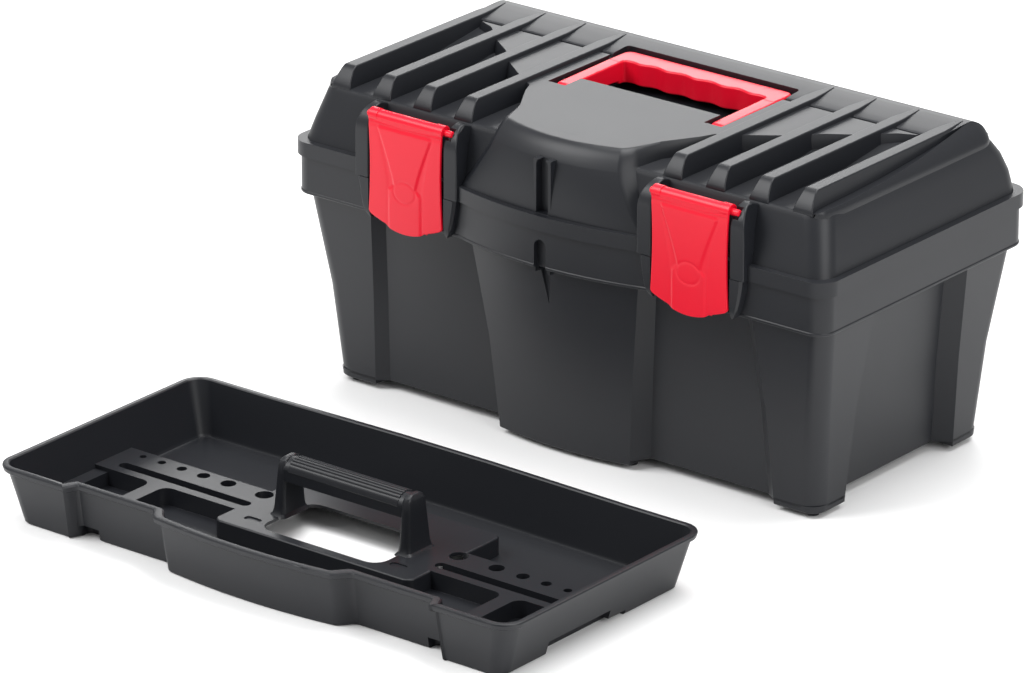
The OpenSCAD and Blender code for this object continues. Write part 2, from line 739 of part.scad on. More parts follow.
module tray_body() {
    cut = 3 * tray_wall;
    difference() {
        union() {
            tray_shell();
            rack(-deck_half, deck_half, -deck_front, deck_back, rack_z);
            within_tray() both_sides() {
                rack(deck_half - tray_wall, tray_x, -rack_y, rack_d - rack_y, rack_z - 0.1);
                translate([bin_wall_x, -tray_y, tray_wall / 2])
                    cube([tray_wall, tray_y - rack_y + 1, bin_wall_z]);
            }
            rack(-reach_w / 2 - tray_wall, reach_w / 2 + tray_wall, reach_y - tray_wall,
                 reach_y + reach_d + tray_wall, rack_z - 0.2);
        }
        // opening under the handle
        translate([-reach_w / 2, reach_y, -eps]) cube([reach_w, reach_d, tray_h]);
        // tool holes and slots through the top of the rack
        both_sides() {
            for (i = [0:len(hole_d) - 1]) translate([hole_x(i), hole_row_y, rack_z - 2 * tray_wall])
                cylinder(h = cut, d = hole_d[i]);
            translate([0, 0, rack_z - 2 * tray_wall]) linear_extrude(cut)
                slot(hole_x(0) - slot_over, hole_x(len(hole_d) - 1) + slot_over, slot_row_y, slot_w);
        }
    }
}

// the tray's handle: two posts and a ribbed grip
module tray_handle() {
    both_sides() translate([tray_grip_len / 2, 0, 0])
        along_x(0, post_w, [[post_y - 14, rack_z - 1], [post_y + 14, rack_z - 1],
                            [post_y + 11, tray_handle_h - 6], [post_y + 5, tray_handle_h],
                            [post_y - 5, tray_handle_h], [post_y - 11, tray_handle_h - 6]]);
    along_x(-tray_grip_len / 2 - 1, tray_grip_len / 2 + 1,
            [for (a = [0:15:345]) let (r = grip_r + (a / 15 % 2 == 0 ? 0.9 : 0))
                [post_y + 1.1 * r * cos(a), tray_handle_h - grip_r - 2.5 + r * sin(a)]]);
}

module tray() {
    color(black) translate([tray_side, tray_at_y, 0]) {
        tray_body();
        tray_handle();
    }
}

base_tub();
lid_shell();
latch_left();
latch_right();
latch_pin_left();
latch_pin_right();
carry_handle();
handle_pin_left();
handle_pin_right();
hinge_pin_left();
hinge_pin_right();
tray();
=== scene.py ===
import bpy, bmesh, json, math
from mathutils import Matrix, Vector


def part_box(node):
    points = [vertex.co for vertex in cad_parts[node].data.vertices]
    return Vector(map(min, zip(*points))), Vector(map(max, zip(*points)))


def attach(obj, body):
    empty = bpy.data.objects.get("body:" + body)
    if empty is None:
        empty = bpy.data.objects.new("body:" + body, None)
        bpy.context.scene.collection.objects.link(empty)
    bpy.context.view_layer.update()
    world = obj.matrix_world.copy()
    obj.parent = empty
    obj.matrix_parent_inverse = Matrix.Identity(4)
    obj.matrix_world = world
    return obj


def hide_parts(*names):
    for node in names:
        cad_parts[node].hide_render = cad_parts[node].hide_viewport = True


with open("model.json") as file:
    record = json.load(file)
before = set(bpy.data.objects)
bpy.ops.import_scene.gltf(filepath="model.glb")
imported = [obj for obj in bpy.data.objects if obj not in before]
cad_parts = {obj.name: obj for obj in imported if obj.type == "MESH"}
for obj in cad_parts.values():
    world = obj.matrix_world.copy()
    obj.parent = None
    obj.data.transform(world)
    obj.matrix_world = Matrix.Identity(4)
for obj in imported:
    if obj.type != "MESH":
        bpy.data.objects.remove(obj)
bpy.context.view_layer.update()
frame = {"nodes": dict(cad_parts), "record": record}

# Toolbox with a lift-out tray. Sizes are in millimetres and become metres in newPiece.
mm = 0.001
steps = {"corner": 8, "bow": 14}      # segments in a rounded corner and in half of the bowed front

def span(node):                       # a CAD node's corners in millimetres
    low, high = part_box(node)
    return [v / mm for v in low], [v / mm for v in high]

lidHigh = span("lid_shell")[1]
latchLow = span("latch_right")[0]
joints = {j["name"]: j for j in frame["record"]["behaviour"]["joints"]}
hingePos = [v / mm for v in joints["lid_open"]["pos_m"]]
pinPos = [v / mm for v in joints["latch_right_swing"]["pos_m"]]
pivotPos = [v / mm for v in joints["handle_swing"]["pos_m"]]
tubTop = hingePos[2]
lidBottom = tubTop + 0.5

# ---- mesh tools

def newPiece(name, verts, faces, material=None):
    mesh = bpy.data.meshes.new(name)
    mesh.from_pydata([Vector(v) * mm for v in verts], [], faces)
    bm = bmesh.new()
    bm.from_mesh(mesh)
    bmesh.ops.remove_doubles(bm, verts=bm.verts, dist=1e-6)
    bmesh.ops.recalc_face_normals(bm, faces=bm.faces)
    bm.to_mesh(mesh)
    bm.free()
    piece = bpy.data.objects.new(name, mesh)
    bpy.context.scene.collection.objects.link(piece)
    if material:
        piece.data.materials.append(material)
    return piece

def baked(piece):                     # modifiers applied, as a plain mesh
    graph = bpy.context.evaluated_depsgraph_get()
    mesh = bpy.data.meshes.new_from_object(piece.evaluated_get(graph))
    piece.modifiers.clear()
    old = piece.data
    piece.data = mesh
    bpy.data.meshes.remove(old)
    return piece

def cut(piece, tools, operation="DIFFERENCE"):
    for tool in tools:
        mod = piece.modifiers.new("cut", "BOOLEAN")
        mod.operation = operation
        mod.solver = "EXACT"
        mod.object = tool
    baked(piece)
    for tool in tools:
        bpy.data.objects.remove(tool)
    return piece

def joined(name, parts):              # closed shells gathered into one piece
    bm = bmesh.new()
    slots = []
    for part in parts:
        first = len(bm.faces)
        bm.from_mesh(part.data)
        bm.faces.ensure_lookup_table()
        for i, face in enumerate(bm.faces[first:]):
            material = part.data.materials[face.material_index] if part.data.materials else None
            if material not in slots:
                slots.append(material)
            face.material_index = slots.index(material)
    mesh = bpy.data.meshes.new(name)
    bm.to_mesh(mesh)
    bm.free()
    for material in slots:
        mesh.materials.append(material)
    piece = bpy.data.objects.new(name, mesh)
    bpy.context.scene.collection.objects.link(piece)
    for part in parts:
        bpy.data.objects.remove(part)
    return piece

def rounded(piece, width, angle=28, segments=3):
    mod = piece.modifiers.new("edge", "BEVEL")
    mod.width = width * mm
    mod.segments = segments
    mod.limit_method = "ANGLE"
    mod.angle_limit = math.radians(angle)
    mod.use_clamp_overlap = True
    mod.miter_outer = "MITER_ARC"
    baked(piece)
    return piece

def smooth(piece, angle=30):
    piece.data.shade_smooth()
    piece.data.set_sharp_from_angle(angle=math.radians(angle))
    mod = piece.modifiers.new("shade", "WEIGHTED_NORMAL")
    mod.keep_sharp = True
    mod.weight = 60
    baked(piece)
    return piece

def arc(cx, cy, r, a0, a1, n):
    angles = [math.radians(a0 + (a1 - a0) * i / n) for i in range(n + 1)]
    return [(cx + r * math.cos(a), cy + r * math.sin(a)) for a in angles]

def bowAt(x, depth, half):
    return depth * max(0, 1 - (x / half) ** 2)

def ring(half, z):                    # right half of an outline, mirrored to a full ring
    return [(x, y, z) for x, y in half] + [(-x, y, z) for x, y in reversed(half[1:])]

def loft(name, rings, material=None, caps=(True, True)):
    n = len(rings[0])
    faces = []
    for k in range(len(rings) - 1):
        for i in range(n):
            j = (i + 1) % n
            faces.append((k * n + i, k * n + j, (k + 1) * n + j, (k + 1) * n + i))
    if caps[0]:
        faces.append(tuple(reversed(range(n))))
    if caps[1]:
        faces.append(tuple((len(rings) - 1) * n + i for i in range(n)))
    return newPiece(name, [v for r in rings for v in r], faces, material)

def alongX(name, x0, x1, outline, material=None, inner=None):   # outline is (y, z) points
    ends = [[(x0, y, z) for y, z in outline], [(x1, y, z) for y, z in (inner or outline)]]
    return loft(name, ends, material)

def alongY(name, y0, y1, outline, material=None):               # outline is (x, z) points
    return loft(name, [[(x, y0, z) for x, z in outline], [(x, y1, z) for x, z in outline]], material)

def alongZ(name, z0, z1, outline, material=None):
    return loft(name, [[(x, y, z0) for x, y in outline], [(x, y, z1) for x, y in outline]], material)

def block(name, low, high, material=None):
    return alongZ(name, low[2], high[2], [(low[0], low[1]), (high[0], low[1]), (high[0], high[1]),
                                          (low[0], high[1])], material)

def barX(name, x0, x1, y, z, r, material=None, n=40):
    return alongX(name, x0, x1, arc(y, z, r, 0, 360 - 360 / n, n - 1), material)

def flipX(piece, name):               # mirror image of a piece in the middle plane
    mesh = piece.data.copy()
    bm = bmesh.new()
    bm.from_mesh(mesh)
    for v in bm.verts:
        v.co.x = -v.co.x
    bmesh.ops.reverse_faces(bm, faces=bm.faces)
    bm.to_mesh(mesh)
    bm.free()
    twin = bpy.data.objects.new(name, mesh)
    bpy.context.scene.collection.objects.link(twin)
    return twin

def stand(piece, body, nodes):
    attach(piece, body)
    if nodes:
        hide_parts(*nodes)

# ---- materials

def node(tree, kind, **values):
    made = tree.nodes.new(kind)
    for key, value in values.items():
        setattr(made, key, value)
    return made

def grainGroup():                     # fine moulded grain, with slow changes of gloss and faint scuffs
    group = bpy.data.node_groups.new("moulded grain", "ShaderNodeTree")
    for name, default in (("Grain Size", 900.0), ("Gloss Change", 0.06), ("Base Roughness", 0.45),
                          ("Scuffs", 0.03)):
        socket = group.interface.new_socket(name, in_out="INPUT", socket_type="NodeSocketFloat")
        socket.default_value = default
    for name in ("Roughness", "Height", "Scuff Mask"):
        group.interface.new_socket(name, in_out="OUTPUT", socket_type="NodeSocketFloat")
    link = group.links.new
    inp = node(group, "NodeGroupInput")
    out = node(group, "NodeGroupOutput")
    place = node(group, "ShaderNodeTexCoord")
    fine = node(group, "ShaderNodeTexNoise")
    fine.inputs["Detail"].default_value = 2
    slow = node(group, "ShaderNodeTexNoise")
    slow.inputs["Scale"].default_value = 9
    slow.inputs["Detail"].default_value = 3
    scratch = node(group, "ShaderNodeTexNoise")
    scratch.inputs["Scale"].default_value = 40
    scratch.inputs["Detail"].default_value = 6
    scratch.inputs["Roughness"].default_value = 0.7
    stretch = node(group, "ShaderNodeMapping")
    stretch.inputs["Scale"].default_value = (0.35, 1.0, 4.0)
    link(place.outputs["Object"], fine.inputs["Vector"])
    link(inp.outputs["Grain Size"], fine.inputs["Scale"])
    link(place.outputs["Object"], slow.inputs["Vector"])
    link(place.outputs["Object"], stretch.inputs["Vector"])
    link(stretch.outputs["Vector"], scratch.inputs["Vector"])
    mask = node(group, "ShaderNodeMapRange")
    mask.inputs["From Min"].default_value = 0.62
    mask.inputs["From Max"].default_value = 0.78
    link(scratch.outputs["Fac"], mask.inputs["Value"])
    scuff = node(group, "ShaderNodeMath", operation="MULTIPLY")
    link(mask.outputs["Result"], scuff.inputs[0])
    link(inp.outputs["Scuffs"], scuff.inputs[1])
    centred = node(group, "ShaderNodeMath", operation="SUBTRACT")
    link(slow.outputs["Fac"], centred.inputs[0])
    centred.inputs[1].default_value = 0.5
    change = node(group, "ShaderNodeMath", operation="MULTIPLY_ADD")
    link(centred.outputs[0], change.inputs[0])
    link(inp.outputs["Gloss Change"], change.inputs[1])
    link(inp.outputs["Base Roughness"], change.inputs[2])
    total = node(group, "ShaderNodeMath", operation="ADD")
    link(change.outputs[0], total.inputs[0])
    link(scuff.outputs[0], total.inputs[1])
    link(total.outputs[0], out.inputs["Roughness"])
    link(fine.outputs["Fac"], out.inputs["Height"])
    link(scuff.outputs[0], out.inputs["Scuff Mask"])
    return group

def plastic(name, colour, light, look):
    material = bpy.data.materials.new(name)
    material.use_nodes = True
    tree = material.node_tree
    link = tree.links.new
    shader = tree.nodes["Principled BSDF"]
    grain = node(tree, "ShaderNodeGroup")
    grain.node_tree = moulded
    grain.inputs["Grain Size"].default_value = look["grain"]
    grain.inputs["Gloss Change"].default_value = look["change"]
    grain.inputs["Base Roughness"].default_value = look["rough"]
    grain.inputs["Scuffs"].default_value = look["scuffs"]
    tint = node(tree, "ShaderNodeMix", data_type="RGBA")
    tint.inputs["A"].default_value = (*colour, 1)
    tint.inputs["B"].default_value = (*light, 1)
    link(grain.outputs["Scuff Mask"], tint.inputs["Factor"])
    link(tint.outputs["Result"], shader.inputs["Base Color"])
    link(grain.outputs["Roughness"], shader.inputs["Roughness"])
    bump = node(tree, "ShaderNodeBump")
    bump.inputs["Strength"].default_value = look["bump"]
    bump.inputs["Distance"].default_value = 0.0002
    link(grain.outputs["Height"], bump.inputs["Height"])
    link(bump.outputs["Normal"], shader.inputs["Normal"])
    shader.inputs["IOR"].default_value = 1.45
    shader.inputs["Specular IOR Level"].default_value = look["gloss"]
    return material

def steelWire():
    material = bpy.data.materials.new("drawn steel")
    material.use_nodes = True
    tree = material.node_tree
    link = tree.links.new
    shader = tree.nodes["Principled BSDF"]
    place = node(tree, "ShaderNodeTexCoord")
    stretch = node(tree, "ShaderNodeMapping")
    stretch.inputs["Scale"].default_value = (30, 900, 900)
    noise = node(tree, "ShaderNodeTexNoise")
    noise.inputs["Scale"].default_value = 4
    link(place.outputs["Object"], stretch.inputs["Vector"])
    link(stretch.outputs["Vector"], noise.inputs["Vector"])
    ramp = node(tree, "ShaderNodeValToRGB")
    ramp.color_ramp.elements[0].color = (0.42, 0.42, 0.44, 1)
    ramp.color_ramp.elements[1].color = (0.62, 0.62, 0.64, 1)
    link(noise.outputs["Fac"], ramp.inputs["Fac"])
    link(ramp.outputs["Color"], shader.inputs["Base Color"])
    shader.inputs["Metallic"].default_value = 1
    shader.inputs["Roughness"].default_value = 0.35
    return material

moulded = grainGroup()
blackLook = {"grain": 1100.0, "change": 0.05, "rough": 0.4, "scuffs": 0.05, "bump": 0.12, "gloss": 0.42}
redLook = {"grain": 1500.0, "change": 0.05, "rough": 0.33, "scuffs": 0.03, "bump": 0.05, "gloss": 0.45}
blackPlastic = plastic("black polypropylene", (0.0105, 0.0115, 0.0145), (0.05, 0.052, 0.056), blackLook)
redPlastic = plastic("red polypropylene", (0.73, 0.004, 0.023), (0.8, 0.06, 0.07), redLook)
steel = steelWire()
print("stage: materials")

# ---- tub

tub = {
    "collarX": lidHigh[0] - 2.8, "collarY": 127.2, "bow": 14, "bowHalf": 92,
    "collarHeight": 30, "kink": 79, "floor": 8, "skirt": 4,
    "draftLow": 4.9, "draftHigh": 7.8,          # degrees
    "stepX": 4, "stepY": 7,                     # how far the collar stands out over the columns
    "panelFront": 6.5, "panelEnd": 13.5, "slant": 9,
    "columnW": 69, "columnD": 69, "taper": 0.6, "middle": 78, "corner": 14, "wall": 2.8,
    "grooveDepth": 5,
}
collarZ = tubTop - tub["collarHeight"]

def drawnIn(z):
    high, low = (math.tan(math.radians(tub[k])) for k in ("draftHigh", "draftLow"))
    if z < tub["kink"]:
        return high * (collarZ - tub["kink"]) + low * (tub["kink"] - z)
    return high * (collarZ - z)

def columnHalf(z, inset):
    d = drawnIn(z)
    hx = tub["collarX"] - tub["stepX"] - d - inset
    hy = tub["collarY"] - tub["stepY"] - d - inset
    cx = tub["collarX"] - tub["columnW"] + tub["taper"] * d + inset
    cy = tub["collarY"] - tub["columnD"] + tub["taper"] * d + inset
    mx = tub["middle"] - d - inset
    r, slant, front, end = tub["corner"] - inset, tub["slant"], tub["panelFront"], tub["panelEnd"]
    middle = [mx * i / steps["bow"] for i in range(steps["bow"] + 1)]
    return ([(x, -hy - bowAt(x, tub["bow"], tub["bowHalf"])) for x in middle]
            + [(mx + slant, front - hy), (cx - slant, front - hy), (cx, -hy)]
            + arc(hx - r, r - hy, r, -90, 0, steps["corner"])
            + [(hx, -cy), (hx - end, slant - cy), (hx - end, cy - slant), (hx, cy)]
            + arc(hx - r, hy - r, r, 0, 90, steps["corner"])
            + [(cx, hy), (cx - slant, hy - front), (mx + slant, hy - front), (mx, hy)])

def collarHalf(inset):
    hx, hy, r = tub["collarX"] - inset, tub["collarY"] - inset, tub["corner"] - inset
    mx, cx, cy = tub["middle"], tub["collarX"] - tub["columnW"], tub["collarY"] - tub["columnD"]
    slant = tub["slant"]
    front = [mx * i / steps["bow"] for i in range(steps["bow"] + 1)] + [mx + slant]
    return ([(x, -hy - bowAt(x, tub["bow"], tub["bowHalf"])) for x in front]
            + [(cx - slant, -hy), (cx, -hy)]
            + arc(hx - r, r - hy, r, -90, 0, steps["corner"])
            + [(hx, -cy), (hx, slant - cy), (hx, cy - slant), (hx, cy)]
            + arc(hx - r, hy - r, r, 0, 90, steps["corner"])
            + [(cx, hy), (cx - slant, hy), (mx + slant, hy), (mx, hy)])

def cornerFoot(name):                 # the open end of a column, standing below the floor
    z = tub["floor"]
    hx = tub["collarX"] - tub["stepX"] - drawnIn(z)
    hy = tub["collarY"] - tub["stepY"] - drawnIn(z)
    cx = tub["collarX"] - tub["columnW"] + tub["taper"] * drawnIn(z)
    cy = tub["collarY"] - tub["columnD"] + tub["taper"] * drawnIn(z)
    def outline(z, inset):
        d = drawnIn(z) - drawnIn(tub["floor"]) + inset
        return [(x, y, z) for x, y in [(cx + inset, -hy + d)] + arc(hx - d - 12, 12 - hy + d, 12, -90, 0, 8)
                + [(hx - d, -cy - inset), (cx + inset, -cy - inset)]]
    low = z - tub["skirt"]
    column = loft(name, [outline(low, 0.8), outline(low + 0.8, 0), outline(z + 2, 0)], blackPlastic)
    nub = alongZ(name + " nub", 0, low + 0.5, arc(hx - 12, 12 - hy, 5, 0, 345, 23), blackPlastic)
    return [column, nub]

def middleFoot(name, side, depth):
    z = tub["floor"]
    hy = tub["collarY"] - tub["stepY"] - drawnIn(z)
    hx = tub["middle"] - drawnIn(z)
    def outline(z, inset):
        d = drawnIn(z) - drawnIn(tub["floor"]) + inset
        xs = [hx * (i / 10 - 1) for i in range(21)]
        front = [(x * (1 - inset / hx), side * (hy - d + bowAt(x, depth, tub["bowHalf"])), z) for x in xs]
        back = [(hx - inset, side * (hy - 30), z), (inset - hx, side * (hy - 30), z)]
        return front + back
    low = z - tub["skirt"]
    parts = [loft(name, [outline(low, 0.8), outline(low + 0.8, 0), outline(z + 2, 0)], blackPlastic)]
    for x in (-1, 1):
        parts.append(alongZ(name + " nub", 0, low + 0.5, arc(x * (hx - 9), side * (hy - 6), 5, 0, 345, 23),
                            blackPlastic))
    return parts

latch = {
    "x": pinPos[0], "width": 70, "thick": 2.4, "gap": 0.8, "earWidth": 13, "earFront": 134.5,
    "waist": 1.4,                     # how far the sides curve in half way down
    "roll": 4.9, "bore": 2.6, "bottom": latchLow[2], "tongue": 17,
}
earIn = latch["width"] / 2 + latch["gap"]

def tubEar(name, side):               # rounded cheek on the collar, drawn in towards its lower end
    y0, y1 = -tub["collarY"] + 1, -latch["earFront"]
    rows = []
    count = 12
    for i in range(count + 1):
        z = collarZ - 2 + i * (tub["collarHeight"] + 4) / count
        front = y1 + max(0, collarZ + 8 - z) ** 2 * 0.035
        w = 0.9 + (latch["earWidth"] - 3.2) * min(1, max(0, (z - collarZ + 1) / 28)) ** 0.45
        rows.append([(earIn, y0, z), (earIn, front, z), (earIn + w * 0.8, front, z),
                     (earIn + w, front + 1.8, z), (earIn + w + 0.8, y0, z)])
    rows = [[(latch["x"] + side * x, y, z) for x, y, z in row] for row in rows]
    ear = rounded(loft(name, rows, blackPlastic), 0.8)
    cut(ear, [block("above", (-300, -200, tubTop), (300, 0, tubTop + 20))])
    return ear

def makeTub():
    shell = loft("base tub", [
        ring(columnHalf(tub["floor"], 0), tub["floor"]),
        ring(columnHalf(tub["kink"], 0), tub["kink"]),
        ring(columnHalf(collarZ, 0), collarZ),
        ring(collarHalf(0), collarZ),
        ring(collarHalf(-0.5), collarZ + 0.6),
        ring(collarHalf(-0.5), collarZ + 1.9),
        ring(collarHalf(0), collarZ + 2.6),
        ring(collarHalf(0), tubTop),
        ring(collarHalf(tub["wall"]), tubTop),
        ring(collarHalf(tub["wall"]), collarZ + tub["wall"]),
        ring(columnHalf(collarZ, tub["wall"]), collarZ + tub["wall"]),
        ring(columnHalf(tub["kink"], tub["wall"]), tub["kink"]),
        ring(columnHalf(tub["floor"], tub["wall"]), tub["floor"] + tub["wall"])], blackPlastic)
    # groove down the middle of the front: square in the collar, tapering to a point below it
    y = -tub["collarY"] - tub["bow"]
    front = y + tub["stepY"]
    deep = tub["grooveDepth"]
    z0, z1 = collarZ - 31, collarZ - 0.6
    tip = front + drawnIn(z0)
    outline = [(-8, collarZ - 4), (8, collarZ - 4), (8, tubTop - 5), (-8, tubTop - 5)]
    cut(shell, [alongY("groove back", y + 2, y + deep + 2.4, outline, blackPlastic)], "UNION")
    corners = [(-8, front + 2, z1), (8, front + 2, z1), (8, front + deep + 2, z1), (-8, front + deep + 2, z1),
               (-3, tip + 2, z0 - 4), (3, tip + 2, z0 - 4), (3, tip + 4, z0 - 4), (-3, tip + 4, z0 - 4)]
    sides = [(0, 3, 2, 1), (4, 5, 6, 7), (0, 1, 5, 4), (1, 2, 6, 5), (2, 3, 7, 6), (3, 0, 4, 7)]
    cut(shell, [newPiece("taper back", corners, sides, blackPlastic)], "UNION")
    outline = [(-5.5, collarZ - 4), (5.5, collarZ - 4)] + arc(0, tubTop - 13, 5.5, 0, 180, 10)
    cut(shell, [alongY("groove", y - 4, y + deep, outline)])
    corners = [(-5.2, front - 4, z1), (5.2, front - 4, z1), (0, tip - 4, z0),
               (-5.2, front + deep - 2, z1), (5.2, front + deep - 2, z1), (0, tip + 0.2, z0)]
    sides = [(0, 1, 2), (3, 5, 4), (0, 3, 4, 1), (1, 4, 5, 2), (2, 5, 3, 0)]
    cut(shell, [newPiece("taper", corners, sides)])
    rounded(shell, 1.1, 30)
    corner = cornerFoot("corner foot")
    parts = [shell] + corner + [flipX(part, "corner foot") for part in corner]
    for part in list(parts[1:]):      # the back corners
        twin = part.data.copy()
        bm = bmesh.new()
        bm.from_mesh(twin)
        for v in bm.verts:
            v.co.y = -v.co.y
        bmesh.ops.reverse_faces(bm, faces=bm.faces)
        bm.to_mesh(twin)
        bm.free()
        back = bpy.data.objects.new("back foot", twin)
        bpy.context.scene.collection.objects.link(back)
        parts.append(back)
    parts += middleFoot("front middle foot", -1, tub["bow"]) + middleFoot("back middle foot", 1, 0)
    for side in (-1, 1):
        ear = tubEar("collar ear", side)
        parts += [ear, flipX(ear, "collar ear")]
    shelfZ = collarZ - 8
    hx = tub["collarX"] - tub["stepX"] - drawnIn(shelfZ) - 1.4
    hy = tub["collarY"] - tub["stepY"] - drawnIn(shelfZ) - 1.4
    for sy in (-1, 1):                # shelves that carry the stored tray
        outline = [(hx - 42, -sy * hy), (hx - 14, -sy * hy), (hx, sy * (14 - hy)), (hx, sy * (42 - hy)),
                   (hx - 42, sy * (42 - hy))]
        shelf = alongZ("tray shelf", shelfZ - 3, shelfZ, outline, blackPlastic)
        parts += [shelf, flipX(shelf, "tray shelf")]
    # knuckles of the hinges and the catches behind the latches
    for x in (112.5, 187.5):
        knuckle = barX("tub knuckle", x - 7.5, x + 7.5, hingePos[1], hingePos[2], 5, blackPlastic)
        outline = [(tub["collarY"] - 1, tubTop - 12), (hingePos[1], tubTop - 5), (hingePos[1], tubTop - 1),
                   (tub["collarY"] - 1, tubTop - 1)]
        arm = alongX("tub arm", x - 7.5, x + 7.5, outline, blackPlastic)
        for part in (knuckle, arm):
            rounded(part, 0.4)
            parts += [part, flipX(part, "tub hinge")]
    y = -tub["collarY"]
    outline = [(y + 1, collarZ + 5), (y - 1.6, collarZ + 6), (y - 1.6, collarZ + 8), (y + 1, collarZ + 19)]
    catch = alongX("catch", latch["x"] - 20, latch["x"] + 20, outline, blackPlastic)
    parts += [catch, flipX(catch, "catch")]
    piece = smooth(joined("tub", parts))
    stand(piece, "box", ["base_tub"])

makeTub()
print("stage: tub")

# ---- lid

lid = {
    "halfX": lidHigh[0], "halfY": 130, "corner": 17, "bow": 14, "bowHalf": 92,
    "flange": 11.5, "ledge": 5.4, "wall": 2.8, "top": lidBottom + 54.5, "crest": lidHigh[2],
    "leanEnd": 12, "leanFront": 13.5, "leanBack": 18,
    # height, then lean of the end, the front and the back, and width of the bow, as shares
    "profile": [(0, 0, 0, 0, 1), (0.2, 0.18, 0.19, 0.02, 0.82), (0.36, 0.33, 0.35, 0.06, 0.7),
                (0.68, 0.66, 0.7, 0.36, 0.62), (0.9, 0.9, 0.93, 0.76, 0.59), (0.97, 1.06, 1.04, 0.92, 0.58),
                (1, 1.3, 1.2, 1.05, 0.575)],
    "plateau": 12, "groove": 6, "stripFront": 49.1, "backEnd": 89.1,
}
wallX, wallY = lid["halfX"] - lid["ledge"], lid["halfY"] - lid["ledge"]
flangeTop = lidBottom + lid["flange"]
lidTop, plateauTop = lid["top"], lid["top"] + lid["plateau"]
topX, topY = wallX - lid["leanEnd"], wallY - lid["leanFront"]

def lidHalf(hx, front, back, r, depth, half):
    xs = [half * i / steps["bow"] for i in range(steps["bow"] + 1)]
    return ([(x, -front - bowAt(x, depth, half)) for x in xs]
            + arc(hx - r, r - front, r, -90, 0, steps["corner"])
            + arc(hx - r, back - r, r, 0, 90, steps["corner"]) + [(half, back), (half / 2, back)])

def flangeRing(inset, z):
    return ring(lidHalf(lid["halfX"] - inset, lid["halfY"] - inset, lid["halfY"] - inset, lid["corner"],
                        lid["bow"], lid["bowHalf"]), z)

def wallRing(k, inset, drop):
    return ring(lidHalf(wallX - lid["leanEnd"] * k[1] - inset, wallY - lid["leanFront"] * k[2] - inset,
                        wallY - lid["leanBack"] * k[3] - inset, lid["corner"] - inset,
                        0, lid["bowHalf"] * k[4]),
                flangeTop + (lid["top"] - flangeTop) * k[0] - drop)

# one rib round x = 0: slanted sides, a sloped nose and a narrowing tail
def ribSource(width, crest, y0, y1, z0, z1):
    w0, w1 = width / 2, crest / 2
    rows = []
    for share, lean in ((0, 0.2), (0.18, 0.9), (0.5, 4), (0.8, 7.6), (0.94, 10.2), (1, 13)):
        w = w0 + (w1 - w0) * share
        z = lidTop + (z1 - lidTop) * share
        tail = z - 0.4 * share
        rows.append([(-w, y0 + lean, z), (w, y0 + lean, z), (w, y1 - 30, z), (w * 0.35, y1 - 3 * share, tail),
                     (-w * 0.35, y1 - 3 * share, tail), (-w, y1 - 30, z)])
    rows.insert(0, [(x, y, z0) for x, y, _ in rows[0]])
    return loft("rib", rows, blackPlastic)

# A row of copies of a part along X, as geometry nodes with named inputs
def rowTree():
    tree = bpy.data.node_groups.new("row of parts", "GeometryNodeTree")
    face = tree.interface
    face.new_socket("Geometry", in_out="INPUT", socket_type="NodeSocketGeometry")
    face.new_socket("Part", in_out="INPUT", socket_type="NodeSocketObject")
    face.new_socket("Count", in_out="INPUT", socket_type="NodeSocketInt")
    face.new_socket("Start", in_out="INPUT", socket_type="NodeSocketVector")
    face.new_socket("Step", in_out="INPUT", socket_type="NodeSocketVector")
    face.new_socket("Material", in_out="INPUT", socket_type="NodeSocketMaterial")
    face.new_socket("Geometry", in_out="OUTPUT", socket_type="NodeSocketGeometry")
    inp, out = node(tree, "NodeGroupInput"), node(tree, "NodeGroupOutput")
    line = node(tree, "GeometryNodeMeshLine", mode="OFFSET")
    points = node(tree, "GeometryNodeInstanceOnPoints")
    info = node(tree, "GeometryNodeObjectInfo")
    real = node(tree, "GeometryNodeRealizeInstances")
    paint = node(tree, "GeometryNodeSetMaterial")
    link = tree.links.new
    link(inp.outputs["Count"], line.inputs["Count"])
    link(inp.outputs["Start"], line.inputs["Start Location"])
    link(inp.outputs["Step"], line.inputs["Offset"])
    link(line.outputs["Mesh"], points.inputs["Points"])
    link(inp.outputs["Part"], info.inputs["Object"])
    link(info.outputs["Geometry"], points.inputs["Instance"])
    link(points.outputs["Instances"], real.inputs["Geometry"])
    link(real.outputs["Geometry"], paint.inputs["Geometry"])
    link(inp.outputs["Material"], paint.inputs["Material"])
    link(paint.outputs["Geometry"], out.inputs["Geometry"])
    return tree

rowOfParts = rowTree()

def row(name, source, count, start, step, material):
    piece = newPiece(name, [(0, 0, 0)], [], material)
    mod = piece.modifiers.new("row", "NODES")
    mod.node_group = rowOfParts
    ids = {s.name: s.identifier for s in rowOfParts.interface.items_tree if s.in_out == "INPUT"}
    mod[ids["Part"]] = source
    mod[ids["Count"]] = count
    mod[ids["Start"]] = [v * mm for v in start]
    mod[ids["Step"]] = [v * mm for v in step]
    mod[ids["Material"]] = material
    return baked(piece)

ribs = {"count": 4, "first": 97.5, "last": topX - 18, "width": 17.5, "crest": 10.5, "edge": 1.8}

def offset(outline, d):               # an outline moved outwards by d, point by point
    n = len(outline)
    moved = []
    for i, (x, y) in enumerate(outline):
        (ax, ay), (bx, by) = outline[i - 1], outline[(i + 1) % n]
        length = math.hypot(bx - ax, by - ay)
        moved.append((x + d * (by - ay) / length, y - d * (bx - ax) / length))
    return moved

